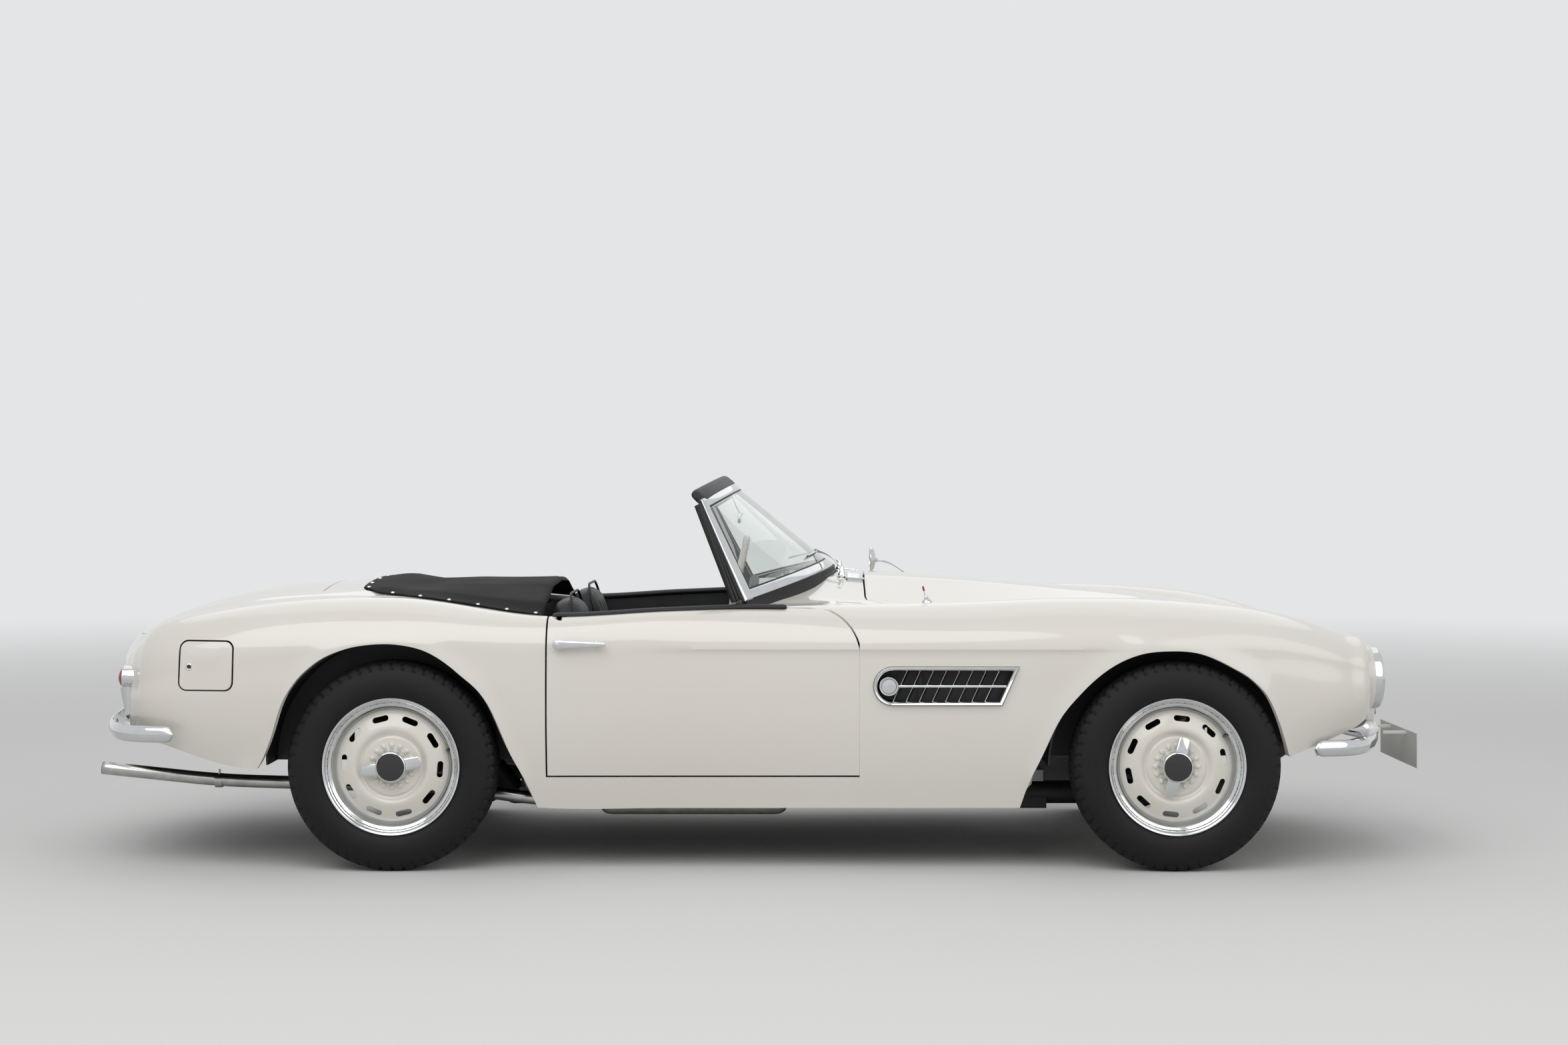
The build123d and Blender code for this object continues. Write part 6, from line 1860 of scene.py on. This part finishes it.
# Black rubber, its colour set darker than bare rubber: painted shade for the dark that lies on the tyres
# under the body.
shaded_tyre_rubber, tree, shader = new_material("shaded_tyre_rubber", Roughness=0.6, Specular_IOR_Level=0.3)
mottle(tree, shader, ("#0A0A0B", "#131314"), 14, (0.52, 0.72), 0.25)
offsets = np.array([0, 3, 6, 8, 9, 10, 12, 15, 18, 20, 21, 22, 24, 27, 30, 32, 33, 34, 36, 39, 42, 45, 48,
                    50, 52, 54, 56, 58, 60, 62], float)
crown = through([p[0] for p in TYRE[:6]], [p[1] for p in TYRE[:6]], offsets)
profile = [(offset, float(radius)) for offset, radius in zip(offsets, crown)]
wall_points = np.array(TYRE[5:], float)
run = np.concatenate([[0], np.cumsum(np.hypot(*np.diff(wall_points, axis=0).T))])
steps = np.linspace(0, run[-1], 17)[1:]
profile += list(zip(through(run, wall_points[:, 0], steps), through(run, wall_points[:, 1], steps)))
profile = np.array(profile)
profile = np.concatenate([profile[::-1] * np.array([-1, 1]), profile[1:]])
angle = 2 * math.pi * np.arange(TYRE_STEPS) / TYRE_STEPS
offset, radius = profile[:, 0][:, None], profile[:, 1][:, None]
turns = angle[None, :] * TYRE_LUGS / (2 * math.pi)
zigzag = 2.4 * (4 * np.abs((turns * 2) % 1 - 0.5) - 1)
groove = np.zeros((len(profile), TYRE_STEPS))
for line in (-33, -21, -9, 9, 21, 33):
    groove = np.maximum(groove, np.clip(1 - np.abs(offset - line - zigzag) / 2.6, 0, 1))
groove *= np.abs(offset) < 40
shoulder = smooth(np.abs(offset), 40, 44) * (1 - smooth(np.abs(offset), 66, 69))
bend = 0.55 * np.abs(np.clip((np.abs(offset) - 42) / 26, 0, 1) - 0.5)
tooth = ((turns + bend) % 1 < 0.25).astype(float)
rings = sum(np.exp(-((radius - line) / 1.3) ** 2) for line in (300, 292, 284, 236, 226))
rings = rings * (np.abs(offset) > 66)
reach = radius - 5.5 * np.clip(groove * 1.6, 0, 1) - 6.5 * shoulder * tooth
out = np.repeat(offset + np.sign(offset) * 0.9 * rings, TYRE_STEPS, 1)
grid = np.stack([reach * np.cos(angle)[None, :], out, reach * np.sin(angle)[None, :]], axis=-1)
grid = np.concatenate([grid, grid[:, :1]], axis=1)
tyre_model = mesh_object("tyre_model", grid.reshape(-1, 3) / 1000, grid_faces(len(profile), TYRE_STEPS + 1),
                         shaded_tyre_rubber, merge=0.0001, sharp=50)
for axle, letter, x, y, _, body in WHEELS:
    tyre = bpy.data.objects.new("tyre_" + axle + "_" + letter + "_tread", tyre_model.data.copy())
    bpy.context.scene.collection.objects.link(tyre)
    tyre.data.transform(Matrix.Translation((x / 1000, y / 1000, AXLE_Z / 1000)))
    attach(tyre, body)
    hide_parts("tyre_" + axle + "_" + letter)
bpy.data.objects.remove(tyre_model)

# Floor of the studio: matt pale paint, which fades to the colour of the backdrop far from the car, so
# that no horizon shows.
def seen_by_eye(tree):
    """1 for rays from the eye and for those that metal or glass passes on to it, 0 for light on the car."""
    path = add_node(tree, "ShaderNodeLightPath")
    seen = path.outputs["Is Camera Ray"]
    for kind in ("Is Glossy Ray", "Is Transmission Ray"):
        either = add_node(tree, "ShaderNodeMath", {0: seen, 1: path.outputs[kind]}, operation="MAXIMUM")
        seen = either.outputs["Value"]
    return seen


floor_paint, tree, shader = new_material("studio_floor", Roughness=0.8)
shader.inputs["Base Color"].default_value = linear("#D8D8D6")
shader.inputs["Specular IOR Level"].default_value = 0.2
place = add_node(tree, "ShaderNodeTexCoord")
far = add_node(tree, "ShaderNodeVectorMath", {0: place.outputs["Object"]}, operation="LENGTH")
fade = add_node(tree, "ShaderNodeMapRange", {"Value": far.outputs["Value"]}, interpolation_type="SMOOTHSTEP")
fade.inputs["From Min"].default_value = 4.0
fade.inputs["From Max"].default_value = 16.0
seen = seen_by_eye(tree)
shown = add_node(tree, "ShaderNodeMath", {0: fade.outputs["Result"], 1: seen}, operation="MULTIPLY")
glow = add_node(tree, "ShaderNodeEmission", Color=linear("#E4E5E6"), Strength=1.0)
blend = add_node(tree, "ShaderNodeMixShader", {0: shown.outputs["Value"], 1: shader.outputs["BSDF"],
        2: glow.outputs["Emission"]})
output = next(node for node in tree.nodes if node.type == "OUTPUT_MATERIAL")
tree.links.new(blend.outputs["Shader"], output.inputs["Surface"])
mesh = bpy.data.meshes.new("floor")
mesh.from_pydata([(-40, -40, 0), (40, -40, 0), (40, 40, 0), (-40, 40, 0)], [], [(0, 1, 2, 3)])
mesh.materials.append(floor_paint)
floor = bpy.data.objects.new("floor", mesh)
bpy.context.scene.collection.objects.link(floor)

# Surroundings, lamps and camera: an even pale backdrop for the eye and for reflections, a softer one for
# the light that falls on the car, three large soft lamps, and the camera where the photograph was taken.
world = bpy.data.worlds.new("studio")
bpy.context.scene.world = world
world.use_nodes = True
tree = world.node_tree
tree.nodes.clear()
seen = seen_by_eye(tree)
light = add_node(tree, "ShaderNodeBackground", Color=linear("#F2F3F5"), Strength=0.5)
backdrop = add_node(tree, "ShaderNodeBackground", Color=linear("#E4E5E6"), Strength=1.0)
mixed = add_node(tree, "ShaderNodeMixShader", {0: seen, 1: light.outputs["Background"],
        2: backdrop.outputs["Background"]})
add_node(tree, "ShaderNodeOutputWorld", {"Surface": mixed.outputs["Shader"]})
LIGHTS = [("key", (-2.5, -6.0, 7.0), 8.5, 350), ("fill", (5.0, -5.5, 4.5), 7.0, 130),
          ("back", (0.0, 5.5, 7.5), 13.0, 180)]
for name, spot, size, power in LIGHTS:
    lamp = bpy.data.lights.new(name, "AREA")
    lamp.shape = "DISK"
    lamp.size = size
    lamp.energy = power
    holder = bpy.data.objects.new(name, lamp)
    holder.location = spot
    holder.rotation_euler = (Vector((0, 0, 0.5)) - Vector(spot)).to_track_quat("-Z", "Y").to_euler()
    bpy.context.scene.collection.objects.link(holder)

CAMERA_PLACE = (0.080, -8.78, 1.235)
camera_data = bpy.data.cameras.new("camera")
camera_data.sensor_width = 36
camera_data.lens = 58.2
camera_data.shift_y = -0.0265
camera = bpy.data.objects.new("camera", camera_data)
camera.location = CAMERA_PLACE
camera.rotation_euler = (math.pi / 2, 0, 0)
bpy.context.scene.collection.objects.link(camera)
bpy.context.scene.camera = camera
bpy.context.scene.view_settings.view_transform = "Standard"
